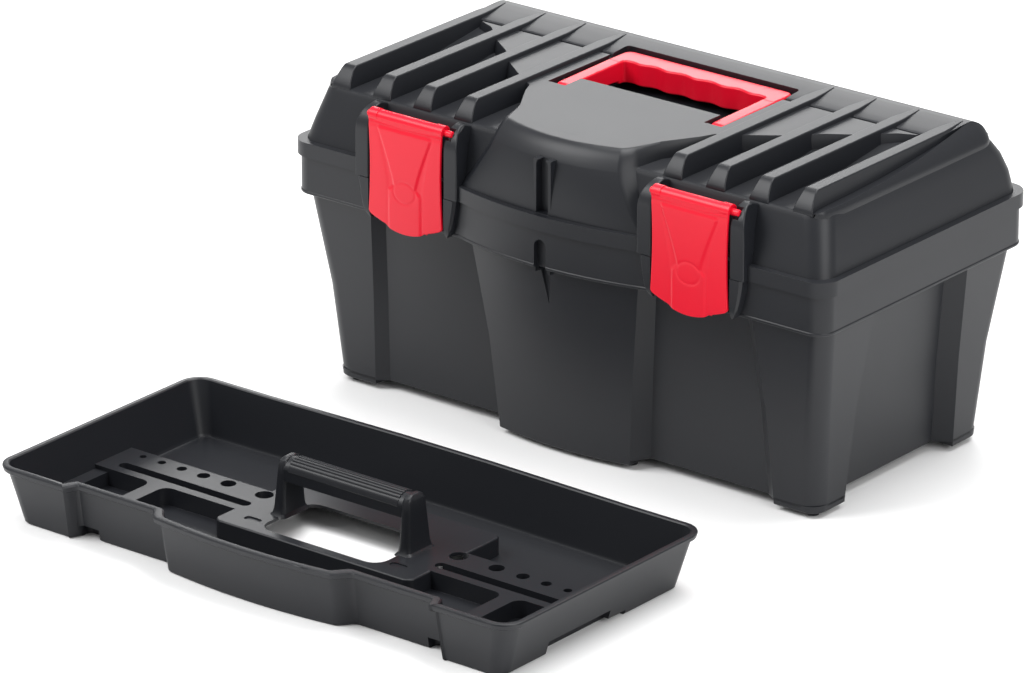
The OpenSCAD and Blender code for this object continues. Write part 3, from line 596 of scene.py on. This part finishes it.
# the bulge of the front and the raised middle: height, half width, front at its corners, side width, growth
bulge = [(194, 83, 127, 1, 0), (197, 82, 129, 1, 0), (210, 72, 128, 1, 0), (220, 66, 126.6, 1, 0),
         (231, 59.5, 124.6, 1, 0), (237.4, 57, 122.6, 1, 0), (238, 56.6, 122.3, 1, 4.6),
         (240, 56, 121.5, 1, 4.1),
         (244, 54.8, 119.4, 0.95, 3.0), (247.5, 53.8, 117, 0.9, 2.0), (250, 52.9, 114.4, 0.8, 1.0),
         (251.4, 52, 112, 0.7, 0.35), (252, 51, 109.8, 0.6, 0)]

def makeBulge(inset, rings):
    crown = 10
    right = [(65, -82), (81, -56), (86.5, -44), (97, -38), (130, -13.5), (149, 6), (169, 20), (191, 41),
             (205, 47)]
    rows = []
    for z, w, d, side, grow in rings:
        w, d = w - inset, d - inset
        front = [(w * (i / 10 - 1), -d - bowAt(w * (i / 10 - 1), crown, w)) for i in range(21)]
        spread = [(w + x * side, y * side - d) for x, y in ((1.2, 0.4), (3.4, 2.6), (7, 7.5), (10, 14))]
        if grow or z > lidTop:
            rest = offset([(64, -86)] + right + [(218, 54)], grow)[1:-1]
        else:                         # below the lid's top only the front part is drawn
            rest = [(66 - i * 0.3, -92 + i) for i in range(len(right))]
        half = spread + rest
        outline = front + half + [(-x, y) for x, y in reversed(half)]
        rows.append([(x, y, z + lidTop - 240) for x, y in outline])
    return loft("bulge", rows, blackPlastic)

def makeBack():                       # the back rises to the level of the raised middle
    edge = topX - 12
    s, b = lid["stripFront"], lid["backEnd"]
    outline = ([(-22, lidTop - 2.4), (-22, lidTop - 0.4), (-10, lidTop + 0.6), (s, lidTop + 7),
                (s + 1.4, plateauTop - 0.6), (s + 3, plateauTop + 0.2), (s + 12, plateauTop + 1),
                (b - 14, plateauTop + 1.9)] + backEdge + [(b + 19, lidTop - 2.4)])
    return alongX("back", -edge, edge, outline, blackPlastic)

b0 = lid["backEnd"]
backEdge = [(b0 - 4, plateauTop + 2.2), (b0 + 1, plateauTop + 2), (b0 + 5, plateauTop + 1),
            (b0 + 8.6, plateauTop - 0.9), (b0 + 11.8, plateauTop - 3.6), (b0 + 14.6, plateauTop - 7),
            (b0 + 17, plateauTop - 10.6), (b0 + 19, lidTop - 1.2)]

def makeRail():                       # soft edge over an end, climbing to the back in one curve
    rise = [(-109, 0.2), (-106, 1.3), (-102, 2.3), (-84, 2.8), (-66, 3.1), (-47, 3.7), (-28, 4.4), (-8, 5.7),
            (11.5, 7.2), (33, 9.1), (54, 11.1), (80, 13.4)] + [(y, z - lidTop) for y, z in backEdge[1:]]
    r = lid["corner"]
    rows = []
    for y, h in rise:
        past = min(r, max(0, -y - (topY - r), y - (b0 + 2)))     # how far into a corner
        out = topX + 0.6 - (r - math.sqrt(r * r - past * past))
        inner = topX - 9.5 - 3 * min(1, max(0, h / 12))
        h = max(h, 0.2)
        edge = [(out - 0.5 * v - 0.03 * v * v, y, lidTop + v) for v in (h * k / 5 for k in range(5, -1, -1))]
        rows.append([(inner, y, lidTop - 4.6), (inner, y, lidTop + 0.8 * h - 0.5),
                     (inner + 2.5, y, lidTop + 0.9 * h - 0.2)] + edge
                    + [(out + 0.35, y, lidTop - 2), (out + 0.5, y, lidTop - 4.6)])
    return loft("rail", rows, blackPlastic)

def handleWell():
    x, gap = 78, 3
    y0, y1, z = pivotPos[1], pivotPos[1] + 85 + gap, plateauTop - 25
    pocket = block("well", (-x - gap, y0 + 10, z), (x + gap, y1, plateauTop + 8))
    rounded(pocket, 3.5, 40, 4)
    tools = [pocket]
    for side in (-1, 1):
        a, b = sorted((side * (x - 13), side * (x + gap)))
        tools.append(block("slot", (a, y0 - 10, z + 4), (b, y0 + 20, plateauTop + 8)))
    return tools

def lidEar(name, side, seated):       # cheek beside a latch; a seated one shows the pin's end
    yBack = -wallY + lid["leanFront"] * 0.8
    y1 = -latch["earFront"]
    z0 = pinPos[2] - 13
    curve = [(y1 + 17 * (1 - math.cos(math.radians(t))), z0 + 18.4 * math.sin(math.radians(t)))
             for t in range(0, 91, 9)]
    outline = [(y1, lidBottom - 3), (y1, lidBottom + 14), (y1, lidBottom + 26)] + curve + [
        (yBack + 4, lidTop - 2), (yBack + 4, lidBottom - 3)]
    def widthAt(z):
        t = min(1, max(0, (z - z0 + 6) / 25.5))
        return latch["earWidth"] - 8.8 * (1 - math.sqrt(1 - t * t))
    inner = [(latch["x"] + side * earIn, y, z) for y, z in outline]
    outer = [(latch["x"] + side * (earIn + widthAt(z)), y, z) for y, z in outline]
    ear = rounded(loft(name, [inner, outer], blackPlastic), 1.3, 30)
    tools = [block("below", (0, -200, lidBottom - 10), (300, 0, lidBottom))]
    if seated:
        a, b = sorted((latch["x"] + side * (earIn - 1), latch["x"] + side * (earIn + 6)))
        tools.append(block("seat", (a, y1 - 3, pinPos[2] - 4.5), (b, pinPos[1] + 4.5, pinPos[2] + 12)))
    return cut(ear, tools)

def makeLid():
    outside = [flangeRing(0, lidBottom), flangeRing(0, flangeTop)]
    outside += [wallRing(k, 0, 0) for k in lid["profile"]]
    inside = [wallRing(k, lid["wall"], lid["wall"]) for k in reversed(lid["profile"])]
    inside.append(wallRing(lid["profile"][0], lid["wall"], lid["flange"]))
    n = len(outside[0])
    verts = [v for r in outside + inside for v in r]
    faces = []
    def band(a, b):
        for i in range(n):
            j = (i + 1) % n
            faces.append((a * n + i, a * n + j, b * n + j, b * n + i))
    for k in range(len(outside) - 1):
        band(k, k + 1)
    last = len(outside) + len(inside) - 1
    for k in range(len(outside), last):
        band(k, k + 1)
    band(last, 0)
    faces.append(tuple((len(outside) - 1) * n + i for i in range(n)))
    faces.append(tuple(len(outside) * n + i for i in reversed(range(n))))
    shell = newPiece("lid", verts, faces, blackPlastic)
    cut(shell, [makeBack()], "UNION")
    cut(shell, [makeBulge(0, bulge)], "UNION")
    cut(shell, [makeBulge(lid["wall"], [(180, 86, 127, 1, 0)] + bulge[1:5] + [(237, 57, 121, 1, 0)])])
    cut(shell, handleWell())
    # groove down the middle of the bulge, with an upright floor
    y = -wallY - lid["bow"] + lid["groove"]
    behind = block("groove back", (-8, y - 6, lidBottom + 2), (8, y + 2.4, lidTop - 1), blackPlastic)
    cut(shell, [behind], "UNION")
    cut(shell, [alongY("groove", y - 30, y, [(-5.5, flangeTop + 0.3), (5.5, flangeTop + 0.3)]
                       + arc(0, lidTop - 5.5, 5.5, 0, 180, 12))])
    rounded(shell, 1.4, 32)
    # the well's floor and walls, seen from under the lid as a box
    x, y0, y1 = 81, pivotPos[1] + 10, pivotPos[1] + 88
    z = plateauTop - 25
    t = lid["wall"]
    tray = block("well box", (-x - t, y0 - t, z - t), (x + t, y1 + t, plateauTop - 3), blackPlastic)
    cut(tray, [block("hollow", (-x, y0, z), (x, y1, plateauTop))])
    parts = [shell, tray]
    source = ribSource(ribs["width"], ribs["crest"], -topY + 1, lid["backEnd"] + 1, lidTop - 2.4,
                       lid["crest"])
    rounded(source, ribs["edge"], 26)
    step = (ribs["last"] - ribs["first"]) / (ribs["count"] - 1)
    for side in (-1, 1):
        parts.append(row("rib row", source, ribs["count"], (side * ribs["first"], 0, 0), (side * step, 0, 0),
                         blackPlastic))
    bpy.data.objects.remove(source)
    rail = rounded(makeRail(), 0.8, 40)
    parts += [rail, flipX(rail, "rail")]
    for side in (-1, 1):              # each pin shows on the right of its latch
        parts.append(lidEar("lid ear", side, side > 0))
        mirrored = lidEar("lid ear", side, side < 0)
        parts.append(flipX(mirrored, "lid ear"))
        bpy.data.objects.remove(mirrored)
    knuckle = rounded(barX("lid knuckle", 120.4, 179.6, hingePos[1], hingePos[2], 5, blackPlastic), 0.4)
    outline = [(127, lidBottom + 1), (hingePos[1], lidBottom + 1), (hingePos[1], hingePos[2] + 5),
               (127, flangeTop - 2)]
    arm = rounded(alongX("lid arm", 120.4, 179.6, outline, blackPlastic), 0.4)
    parts += [knuckle, arm, flipX(knuckle, "lid knuckle"), flipX(arm, "lid arm")]
    piece = smooth(joined("lid", parts))
    stand(piece, "lid", ["lid_shell"])

makeLid()
print("stage: lid")

# ---- latches

def latchFace(x, z):                  # how far the plate's front stands out from its plain surface
    t = min(1, max(0, (pinPos[2] - 8 - z) / 42))
    s = abs(x)
    outer = 16.4 + 10 * (1 - t) ** 1.3             # line between the raised middle and a wing
    inner = outer - 1.2 - 5 * t * (1 - min(1, max(0, (pinPos[2] - 50 - z) / 4)))
    middle = 1 / (1 + math.exp((s - inner) / 0.35))
    wing = 1 / (1 + math.exp((outer - s) / 0.5))
    lift = 0.9 * middle + 0.35 * wing
    oval = math.hypot(x / 10.5, (z - (pinPos[2] - 54)) / 8.4)    # plain shallow thumb mark
    if abs(oval - 1) < 0.12:
        lift -= 0.4 * (1 - abs(oval - 1) / 0.12)
    return lift

def latchPlate(name):
    half, bottom = latch["width"] / 2, latch["bottom"]
    columns, rows = 84, 92
    plate = []
    for j in range(rows + 1):
        v = j / rows
        line = []
        for i in range(columns + 1):
            u = 2 * i / columns - 1
            waist = latch["waist"] * math.sin(math.pi * v)
            x = u * (half - waist)
            s = abs(x)
            blend = 1 / (1 + math.exp((s - latch["tongue"]) / 0.5))
            corner = 1.6 * max(0, (abs(u) - 0.92) / 0.08) ** 2
            wing = 6 * max(0, (s - 17) / 18) ** 1.2
            low = bottom + 3 * min(1, s / 17) ** 2 + 1.4 * (1 - blend) + wing + corner
            z = (pinPos[2] + 1) * (1 - v) + low * v
            y = -latch["earFront"] - 0.5 - 0.4 * math.cos(u * 1.4)
            y += -latchFace(x, z) * min(1, max(0, (pinPos[2] - 5 - z) / 2.5))
            line.append((x, y, z))
        plate.append(line)
    verts = [p for line in plate for p in line]
    back = [(x, latch["thick"] - latch["earFront"] - 1.1, z) for line in plate for x, _, z in line]
    n = columns + 1
    count = len(verts)
    faces = []
    for j in range(rows):
        for i in range(columns):
            a = j * n + i
            faces.append((a, a + 1, a + n + 1, a + n))
            faces.append((count + a, count + a + n, count + a + n + 1, count + a + 1))
    rim = ([i for i in range(n)] + [j * n + columns for j in range(1, rows + 1)]
           + [rows * n + i for i in range(columns - 1, -1, -1)] + [j * n for j in range(rows - 1, 0, -1)])
    for k, a in enumerate(rim):
        b = rim[(k + 1) % len(rim)]
        faces.append((a, count + a, count + b, b))
    return newPiece(name, verts + back, faces, redPlastic)

def makeLatch(side, label):
    half = latch["width"] / 2
    plate = rounded(latchPlate("plate"), 0.45, 50, 2)
    # the roll round the pin: open at the back, below the pin
    y, z, r = pinPos[1], pinPos[2], latch["roll"]
    outline = arc(y, z, r, 215, -65, 36) + arc(y, z, latch["bore"], -65, 215, 28)
    roll = rounded(alongX("roll", 0.4 - half, half - 0.4, outline, redPlastic), 0.35, 40, 2)
    bands = []
    for x0, x1 in ((-half, -half + 8), (half - 8, half)):
        outline = arc(y, z, r + 0.55, 205, -55, 36) + arc(y, z, r - 0.6, -55, 205, 28)
        bands.append(rounded(alongX("band", x0, x1, outline, redPlastic), 0.25, 40, 2))
    front = -latch["earFront"]
    tip = -129.5                      # the nose's end, behind the tub's catch
    outline = [(front + 1, collarZ + 4), (front + 1, collarZ - 3), (tip, collarZ + 1), (tip, collarZ + 3)]
    nose = rounded(alongX("nose", -20, 20, outline, redPlastic), 0.4)
    outline = [(front - 1, z - 4), (front + 1.2, z - 4), (y - 3.2, z - 0.5), (y - 4.6, z)]
    web = alongX("web", -half + 1, half - 1, outline, redPlastic)
    piece = joined("latch " + label, [plate, roll, nose, web] + bands)
    for v in piece.data.vertices:
        v.co.x += side * latch["x"] * mm
    piece = smooth(piece, 35)
    piece.name = "latch_" + label + "_moulding"
    stand(piece, label + "_latch", ["latch_" + label])
    # the pin that the latch turns on, red and round-headed, seen beyond the roll
    x0, x1 = side * latch["x"] - earIn - 3, side * latch["x"] + earIn + 5.8
    pin = rounded(barX("latch_pin_" + label + "_rod", x0, x1, y, z, 2.5, redPlastic), 0.8, 40)
    smooth(pin)
    stand(pin, "lid", ["latch_pin_" + label])

makeLatch(-1, "left")
makeLatch(1, "right")
print("stage: latches")

# ---- carry handle

carry = {
    "half": 78, "back": pivotPos[1] + 85, "grip": 20.5, "height": 18, "arm": 11.5, "corner": 7,
    "pitch": 26, "bump": 2.6, "edge": 2.6, "pivot": 7,
}

def makeCarryHandle():
    h, b, w = carry["half"], carry["back"], carry["grip"]
    top = plateauTop - 1
    bottom = top - carry["height"]
    inside = h - carry["arm"]
    wave = []
    count = 80
    for i in range(count + 1):        # finger bumps along the inner edge
        x = inside * (1 - 2 * i / count)
        fade = min(1, (inside - abs(x)) / 10)
        swell = 1 + math.cos(2 * math.pi * (x / carry["pitch"] + 0.5))
        wave.append((x, b - w + carry["bump"] * 0.5 * fade * swell))
    neck = b - w - 6
    outline = ([(h, neck)] + arc(h - carry["corner"], b - carry["corner"], carry["corner"], 0, 90, 8)
               + arc(carry["corner"] - h, b - carry["corner"], carry["corner"], 90, 180, 8)
               + [(-h, neck), (-inside, neck)] + wave[::-1] + [(inside, neck)])
    grip = rounded(alongZ("grip", bottom, top, outline, redPlastic), carry["edge"], 50, 4)
    parts = [grip]
    for side in (-1, 1):
        x0, x1 = sorted((side * inside, side * h))
        y, z, r = pivotPos[1], pivotPos[2], carry["pivot"]
        profile = arc(y, z, r, 95, 265, 16)
        profile += [(neck - 8, z - r), (neck + 3, bottom + 2), (neck + 3, top - 0.2)]
        arm = alongX("arm", x0, x1, profile, redPlastic)
        rounded(arm, 1.2, 30)
        parts.append(arm)
    piece = joined("carry_handle_grip", parts)
    bores = [barX("bore", side * (h + 2) - 15 * (side > 0), side * (h + 2) + 15 * (side < 0), pivotPos[1],
                  pivotPos[2], 2.58) for side in (-1, 1)]
    cut(piece, bores)
    smooth(piece, 40)
    stand(piece, "handle", ["carry_handle"])

makeCarryHandle()
print("stage: carry handle")

# ---- tray

trayLow, trayHigh = span("tray")
tray = {
    "x": (trayHigh[0] - trayLow[0]) / 2 - 3, "y": 111.1, "height": 45, "lean": 13, "wall": 2.4, "lip": 3,
    "corner": 15,
    "side": (trayHigh[0] + trayLow[0]) / 2, "at": trayHigh[1] - 117.1, "bulge": 8, "recess": 9, "deck": 82,
    "rack": 16.5, "rackFront": -17, "rackBack": 24,
    "holes": (14, 12, 10, 8, 6.5, 5.5), "holeRow": 16, "slotRow": -5, "slotWidth": 9,
    "deckHalf": 92, "deckFront": -41, "deckBack": 65, "reachW": 112, "reachFront": -33, "reachD": 60,
    "handle": 60, "gripLength": 108, "postY": 6, "binWall": 76,
}

def eased(t):
    t = min(1, max(0, t))
    return t * t * (3 - 2 * t)

def trayHalf(z, out):
    lean = tray["lean"] * (1 - z / tray["height"])
    hx, hy, r = tray["x"] - lean + out, tray["y"] - 0.6 * lean + out, tray["corner"] - 0.3 * lean + out
    pad = tray["x"] - 66 + 0.1 * lean - out
    mid = tray["deck"] - 0.1 * lean + out
    xs = ([mid * i / 12 for i in range(12)] + [mid - 5 + 1.6 * i for i in range(11)] + [(mid + pad) / 2]
          + [pad - 5 + 1.1 * i for i in range(8)])
    front = []
    for x in xs:
        f = bowAt(min(x, mid), tray["bulge"], mid * 1.15)
        f -= (f + tray["recess"]) * eased((x - mid + 4) / 13) * (1 - eased((x - pad + 5) / 7.5))
        front.append((x, -hy - (f if x < pad + 2.5 else 0)))
    return (front + arc(hx - r, r - hy, r, -90, 0, steps["corner"])
            + arc(hx - r, hy - r, r, 0, 90, steps["corner"])
            + [(pad, hy), (tray["deck"], hy + 2), (tray["deck"] / 2, hy + 3)])

def trayRing(z, out):
    return ring(trayHalf(z, out), z)

def holeX(i):
    share = (i / (len(tray["holes"]) - 1)) ** 0.76
    return tray["deck"] + 9 + (tray["x"] - tray["deck"] - 38) * share

def softBlock(name, low, high, r, material=None):      # a block whose upright edges are rounded
    piece = block(name, low, high, material)
    bm = bmesh.new()
    bm.from_mesh(piece.data)
    upright = [e for e in bm.edges if abs(e.verts[0].co.z - e.verts[1].co.z) > 1e-5]
    bmesh.ops.bevel(bm, geom=upright, offset=r * mm, segments=6, affect="EDGES", profile=0.5)
    bm.to_mesh(piece.data)
    bm.free()
    return piece

def makeTray():
    h, t, lip, top = tray["height"], tray["wall"], tray["lip"], tray["rack"]
    outside = [trayRing(0, -1.2), trayRing(1.2, 0), trayRing(h - 5.6, 0), trayRing(h - 5.2, lip * 0.7),
               trayRing(h - 4.4, lip), trayRing(h - 1.4, lip), trayRing(h - 0.4, lip * 0.75),
               trayRing(h, lip * 0.3)]
    inside = [trayRing(h, 0.8 - t), trayRing(h - 0.8, -t), trayRing(t + 3, -t), trayRing(t + 0.8, -t - 0.9),
              trayRing(t, -t - 3)]
    shell = loft("tray", outside + inside, blackPlastic)
    def inner():
        return loft("inner", [ring(trayHalf(0, -t * 0.5), 0.6), trayRing(h, -t * 0.5)])
    # arches under the ends and notches under the front, each with a raised floor over it
    arches, floors = [], []
    for side in (-1, 1):
        for y0, y1, rise in ((-53, 17, 11), (17, 37, 4)):
            a, b = sorted((side * (tray["x"] - tray["lean"] - 8), side * (tray["x"] + 8)))
            arches.append(block("arch", (a, y0, -5), (b, y1, rise)))
            a, b = sorted((side * (tray["x"] - tray["lean"] - 8 - t), side * (tray["x"] + 8)))
            floors.append(softBlock("arch floor", (a, y0 - t, 0.6), (b, y1 + t, rise + t), 2, blackPlastic))
        a, b = sorted((side * (tray["x"] - 84), side * (tray["x"] - 67)))
        arches.append(softBlock("notch", (a, -tray["y"] - 26, -5), (b, -tray["y"] + 25, 9), 4))
        low, high = (a - t, -tray["y"] - 26, 0.6), (b + t, -tray["y"] + 25 + t, 9 + t)
        floors.append(softBlock("notch floor", low, high, 4, blackPlastic))
    for floor in floors:
        cut(floor, [inner()], "INTERSECT")
    # the land that the bins are sunk in, and the deck round the handle
    lands = []
    for side in (-1, 1):
        a, b = sorted((side * (tray["deckHalf"] - 8), side * (tray["x"] + 4)))
        lands.append(block("land", (a, -tray["y"] - 6, 1.4), (b, tray["rackBack"], top), blackPlastic))
    for land in lands:
        cut(land, [inner()], "INTERSECT")
    wall = tray["x"] - tray["binWall"]
    for side, land in zip((-1, 1), lands):
        pockets = []
        for x0, x1 in ((tray["deckHalf"] - 16, wall - 3), (wall + 10, tray["x"] + 20)):
            a, b = sorted((side * x0, side * x1))
            low, high = (a, -tray["y"] - 20, t + 0.2), (b, tray["rackFront"], top + 20)
            pockets.append(softBlock("bin", low, high, 8))
        cut(land, pockets)
    low, high = (-tray["deckHalf"], tray["deckFront"], 1.4), (tray["deckHalf"], tray["deckBack"], top)
    deck = softBlock("deck", low, high, 7, blackPlastic)
    for part in [deck] + lands:       # rounded upper edges
        rounded(part, 1.5, 40)
    cut(shell, floors, "UNION")
    cut(shell, lands, "UNION")
    cut(shell, [deck], "UNION")
    cut(shell, arches)
    under = softBlock("under the deck", (t - tray["deckHalf"], tray["deckFront"] + t, -5),
                      (tray["deckHalf"] - t, tray["deckBack"] - t, top - t), 5)
    cut(shell, [under])
    reach = softBlock("reach", (-tray["reachW"] / 2, tray["reachFront"], -5),
                      (tray["reachW"] / 2, tray["reachFront"] + tray["reachD"], 30), 12)
    holes = [reach]
    for side in (-1, 1):
        for i, d in enumerate(tray["holes"]):
            holes.append(alongZ("hole", 5, 30, [(side * holeX(i) + x, tray["holeRow"] + y)
                                                for x, y in arc(0, 0, d / 2, 0, 345, 23)]))
        a, b = sorted((side * (holeX(0) - 4), side * (holeX(len(tray["holes"]) - 1) + 4)))
        w = tray["slotWidth"] / 2
        holes.append(alongZ("slot", 6, 30, arc(b - w, tray["slotRow"], w, -90, 90, 10)
                            + arc(a + w, tray["slotRow"], w, 90, 270, 10)))
        x = side * 68                 # small dips beside the posts
        outline = arc(x + 4, -24, 3.4, -90, 90, 8) + arc(x - 4, -24, 3.4, 90, 270, 8)
        holes.append(alongZ("dip", top - 1, 30, outline))
    for hole in holes:
        cut(shell, [hole])
    rounded(shell, 0.7, 42, 2)
    shell.data.materials.clear()
    shell.data.materials.append(blackPlastic)
    parts = [shell]
    # posts with rounded tops, and a grip like an upturned trough between them
    high, y = tray["handle"], tray["postY"]
    for side in (-1, 1):
        def post(x0, x1, half, z, r):
            a, b = sorted((side * x0, side * x1))
            corners = ((b - r, half - r, 0), (a + r, half - r, 90), (a + r, r - half, 180),
                       (b - r, r - half, 270))
            return [(px, y + py, z) for cx, cy, a0 in corners for px, py in arc(cx, cy, r, a0, a0 + 90, 5)]
        x = tray["gripLength"] / 2
        rows = [post(x - 3, x + 13, 16.5, top - 1, 4), post(x - 1, x + 10.5, 14.5, top + 1.6, 4),
                post(x - 0.6, x + 9.6, 13.6, top + 6, 4), post(x, x + 8, 11.2, high - 12, 3.6),
                post(x + 0.2, x + 7.4, 10.4, high - 5, 3.2), post(x + 0.6, x + 6.8, 8.6, high - 2, 2.8),
                post(x + 1.4, x + 5.8, 5.6, high - 0.4, 2), post(x + 2.2, x + 5, 3.2, high, 1.3)]
        parts.append(loft("post", rows, blackPlastic))
    half, drop = 10.2, 17
    outer = [(y + half, high - drop)]
    for a in [math.radians(degrees) for degrees in range(0, 181, 5)]:
        across = half * math.cos(a) * (0.97 + 0.03 * math.cos(2 * a))
        outer.append((y + across, high - 8.6 + 8 * math.sin(a)))
    outer.append((y - half, high - drop))
    hollow = [(y - half + t, high - drop), (y - half + t, high - 9), (y - 4, high - 4.5), (y + 4, high - 4.5),
              (y + half - t, high - 9), (y + half - t, high - drop)]
    end = tray["gripLength"] / 2
    grip = alongX("grip", -end - 2, end + 2, outer + hollow, blackPlastic)
    parts.append(rounded(grip, 0.5, 50, 2))
    ridge = rounded(barX("ridge", 3 - end, end - 3, 0, 0, 1.0, blackPlastic, 10), 0.3, 60, 2)
    ridges = row("grip ridges", ridge, 8, (0, y - 9.6, high - 0.5), (0, 2.7, 0), blackPlastic)
    for v in ridges.data.vertices:    # the ridges follow the round of the grip
        across = min(1, abs(v.co.y / mm - y) / half)
        v.co.z += (math.sqrt(1 - across * across) - 1) * 8 * mm
    bpy.data.objects.remove(ridge)
    parts.append(ridges)
    piece = joined("tray_moulding", parts)
    for v in piece.data.vertices:
        v.co.x += tray["side"] * mm
        v.co.y += tray["at"] * mm
    smooth(piece)
    stand(piece, "tool_tray", ["tray"])

makeTray()
print("stage: tray")

for name in ("handle_pin_left", "handle_pin_right", "hinge_pin_left", "hinge_pin_right"):
    carried = frame["nodes"][name]
    carried.data.materials.clear()
    carried.data.materials.append(steel)

# ---- floor, lights and camera

room = {"floor": 8.0, "key": 60, "fill": 22, "top": 62, "back": 26, "world": 0.48}

def paper():
    material = bpy.data.materials.new("pale paper")
    material.use_nodes = True
    shader = material.node_tree.nodes["Principled BSDF"]
    shader.inputs["Base Color"].default_value = (0.93, 0.93, 0.93, 1)
    shader.inputs["Roughness"].default_value = 0.9
    return material

def areaLight(name, place, aim, size, power):
    light = bpy.data.lights.new(name, "AREA")
    light.shape = "RECTANGLE"
    light.size, light.size_y = size
    light.energy = power
    lamp = bpy.data.objects.new(name, light)
    bpy.context.scene.collection.objects.link(lamp)
    lamp.location = place
    lamp.rotation_euler = (Vector(aim) - Vector(place)).to_track_quat("-Z", "Y").to_euler()

half = room["floor"]
floor = bpy.data.objects.new("floor", bpy.data.meshes.new("floor"))
corners = [(-half, -half, 0), (half, -half, 0), (half, half, 0), (-half, half, 0)]
floor.data.from_pydata(corners, [], [(0, 1, 2, 3)])
floor.data.materials.append(paper())
bpy.context.scene.collection.objects.link(floor)

areaLight("key", (-1.2, -1.6, 2.2), (0, -0.1, 0.1), (1.6, 1.6), room["key"])
areaLight("side", (2.2, -0.6, 1.3), (0, 0, 0.12), (1.4, 1.2), room["fill"])
areaLight("back", (-2.0, 2.55, 1.3), (0, 0, 0.2), (1.8, 1.0), room["back"])
areaLight("top", (0.2, 0.5, 2.4), (0, -0.1, 0.1), (2.2, 1.4), room["top"])

bpy.context.scene.view_settings.view_transform = "Standard"
world = bpy.data.worlds.new("studio")
bpy.context.scene.world = world
world.use_nodes = True
world.node_tree.nodes["Background"].inputs["Color"].default_value = (1, 1, 1, 1)
world.node_tree.nodes["Background"].inputs["Strength"].default_value = room["world"]

camera = {"place": (3.138, -4.121, 2.100), "turn": 38.485, "drop": 21.522, "focal": 260}
a, e = math.radians(camera["turn"]), math.radians(camera["drop"])
eye = bpy.data.objects.new("camera", bpy.data.cameras.new("camera"))
bpy.context.scene.collection.objects.link(eye)
eye.data.lens = camera["focal"]
eye.data.sensor_width = 36
eye.data.clip_end = 50
eye.location = camera["place"]
aim = Vector((-math.sin(a) * math.cos(e), math.cos(a) * math.cos(e), -math.sin(e)))
eye.rotation_euler = aim.to_track_quat("-Z", "Y").to_euler()
bpy.context.scene.camera = eye
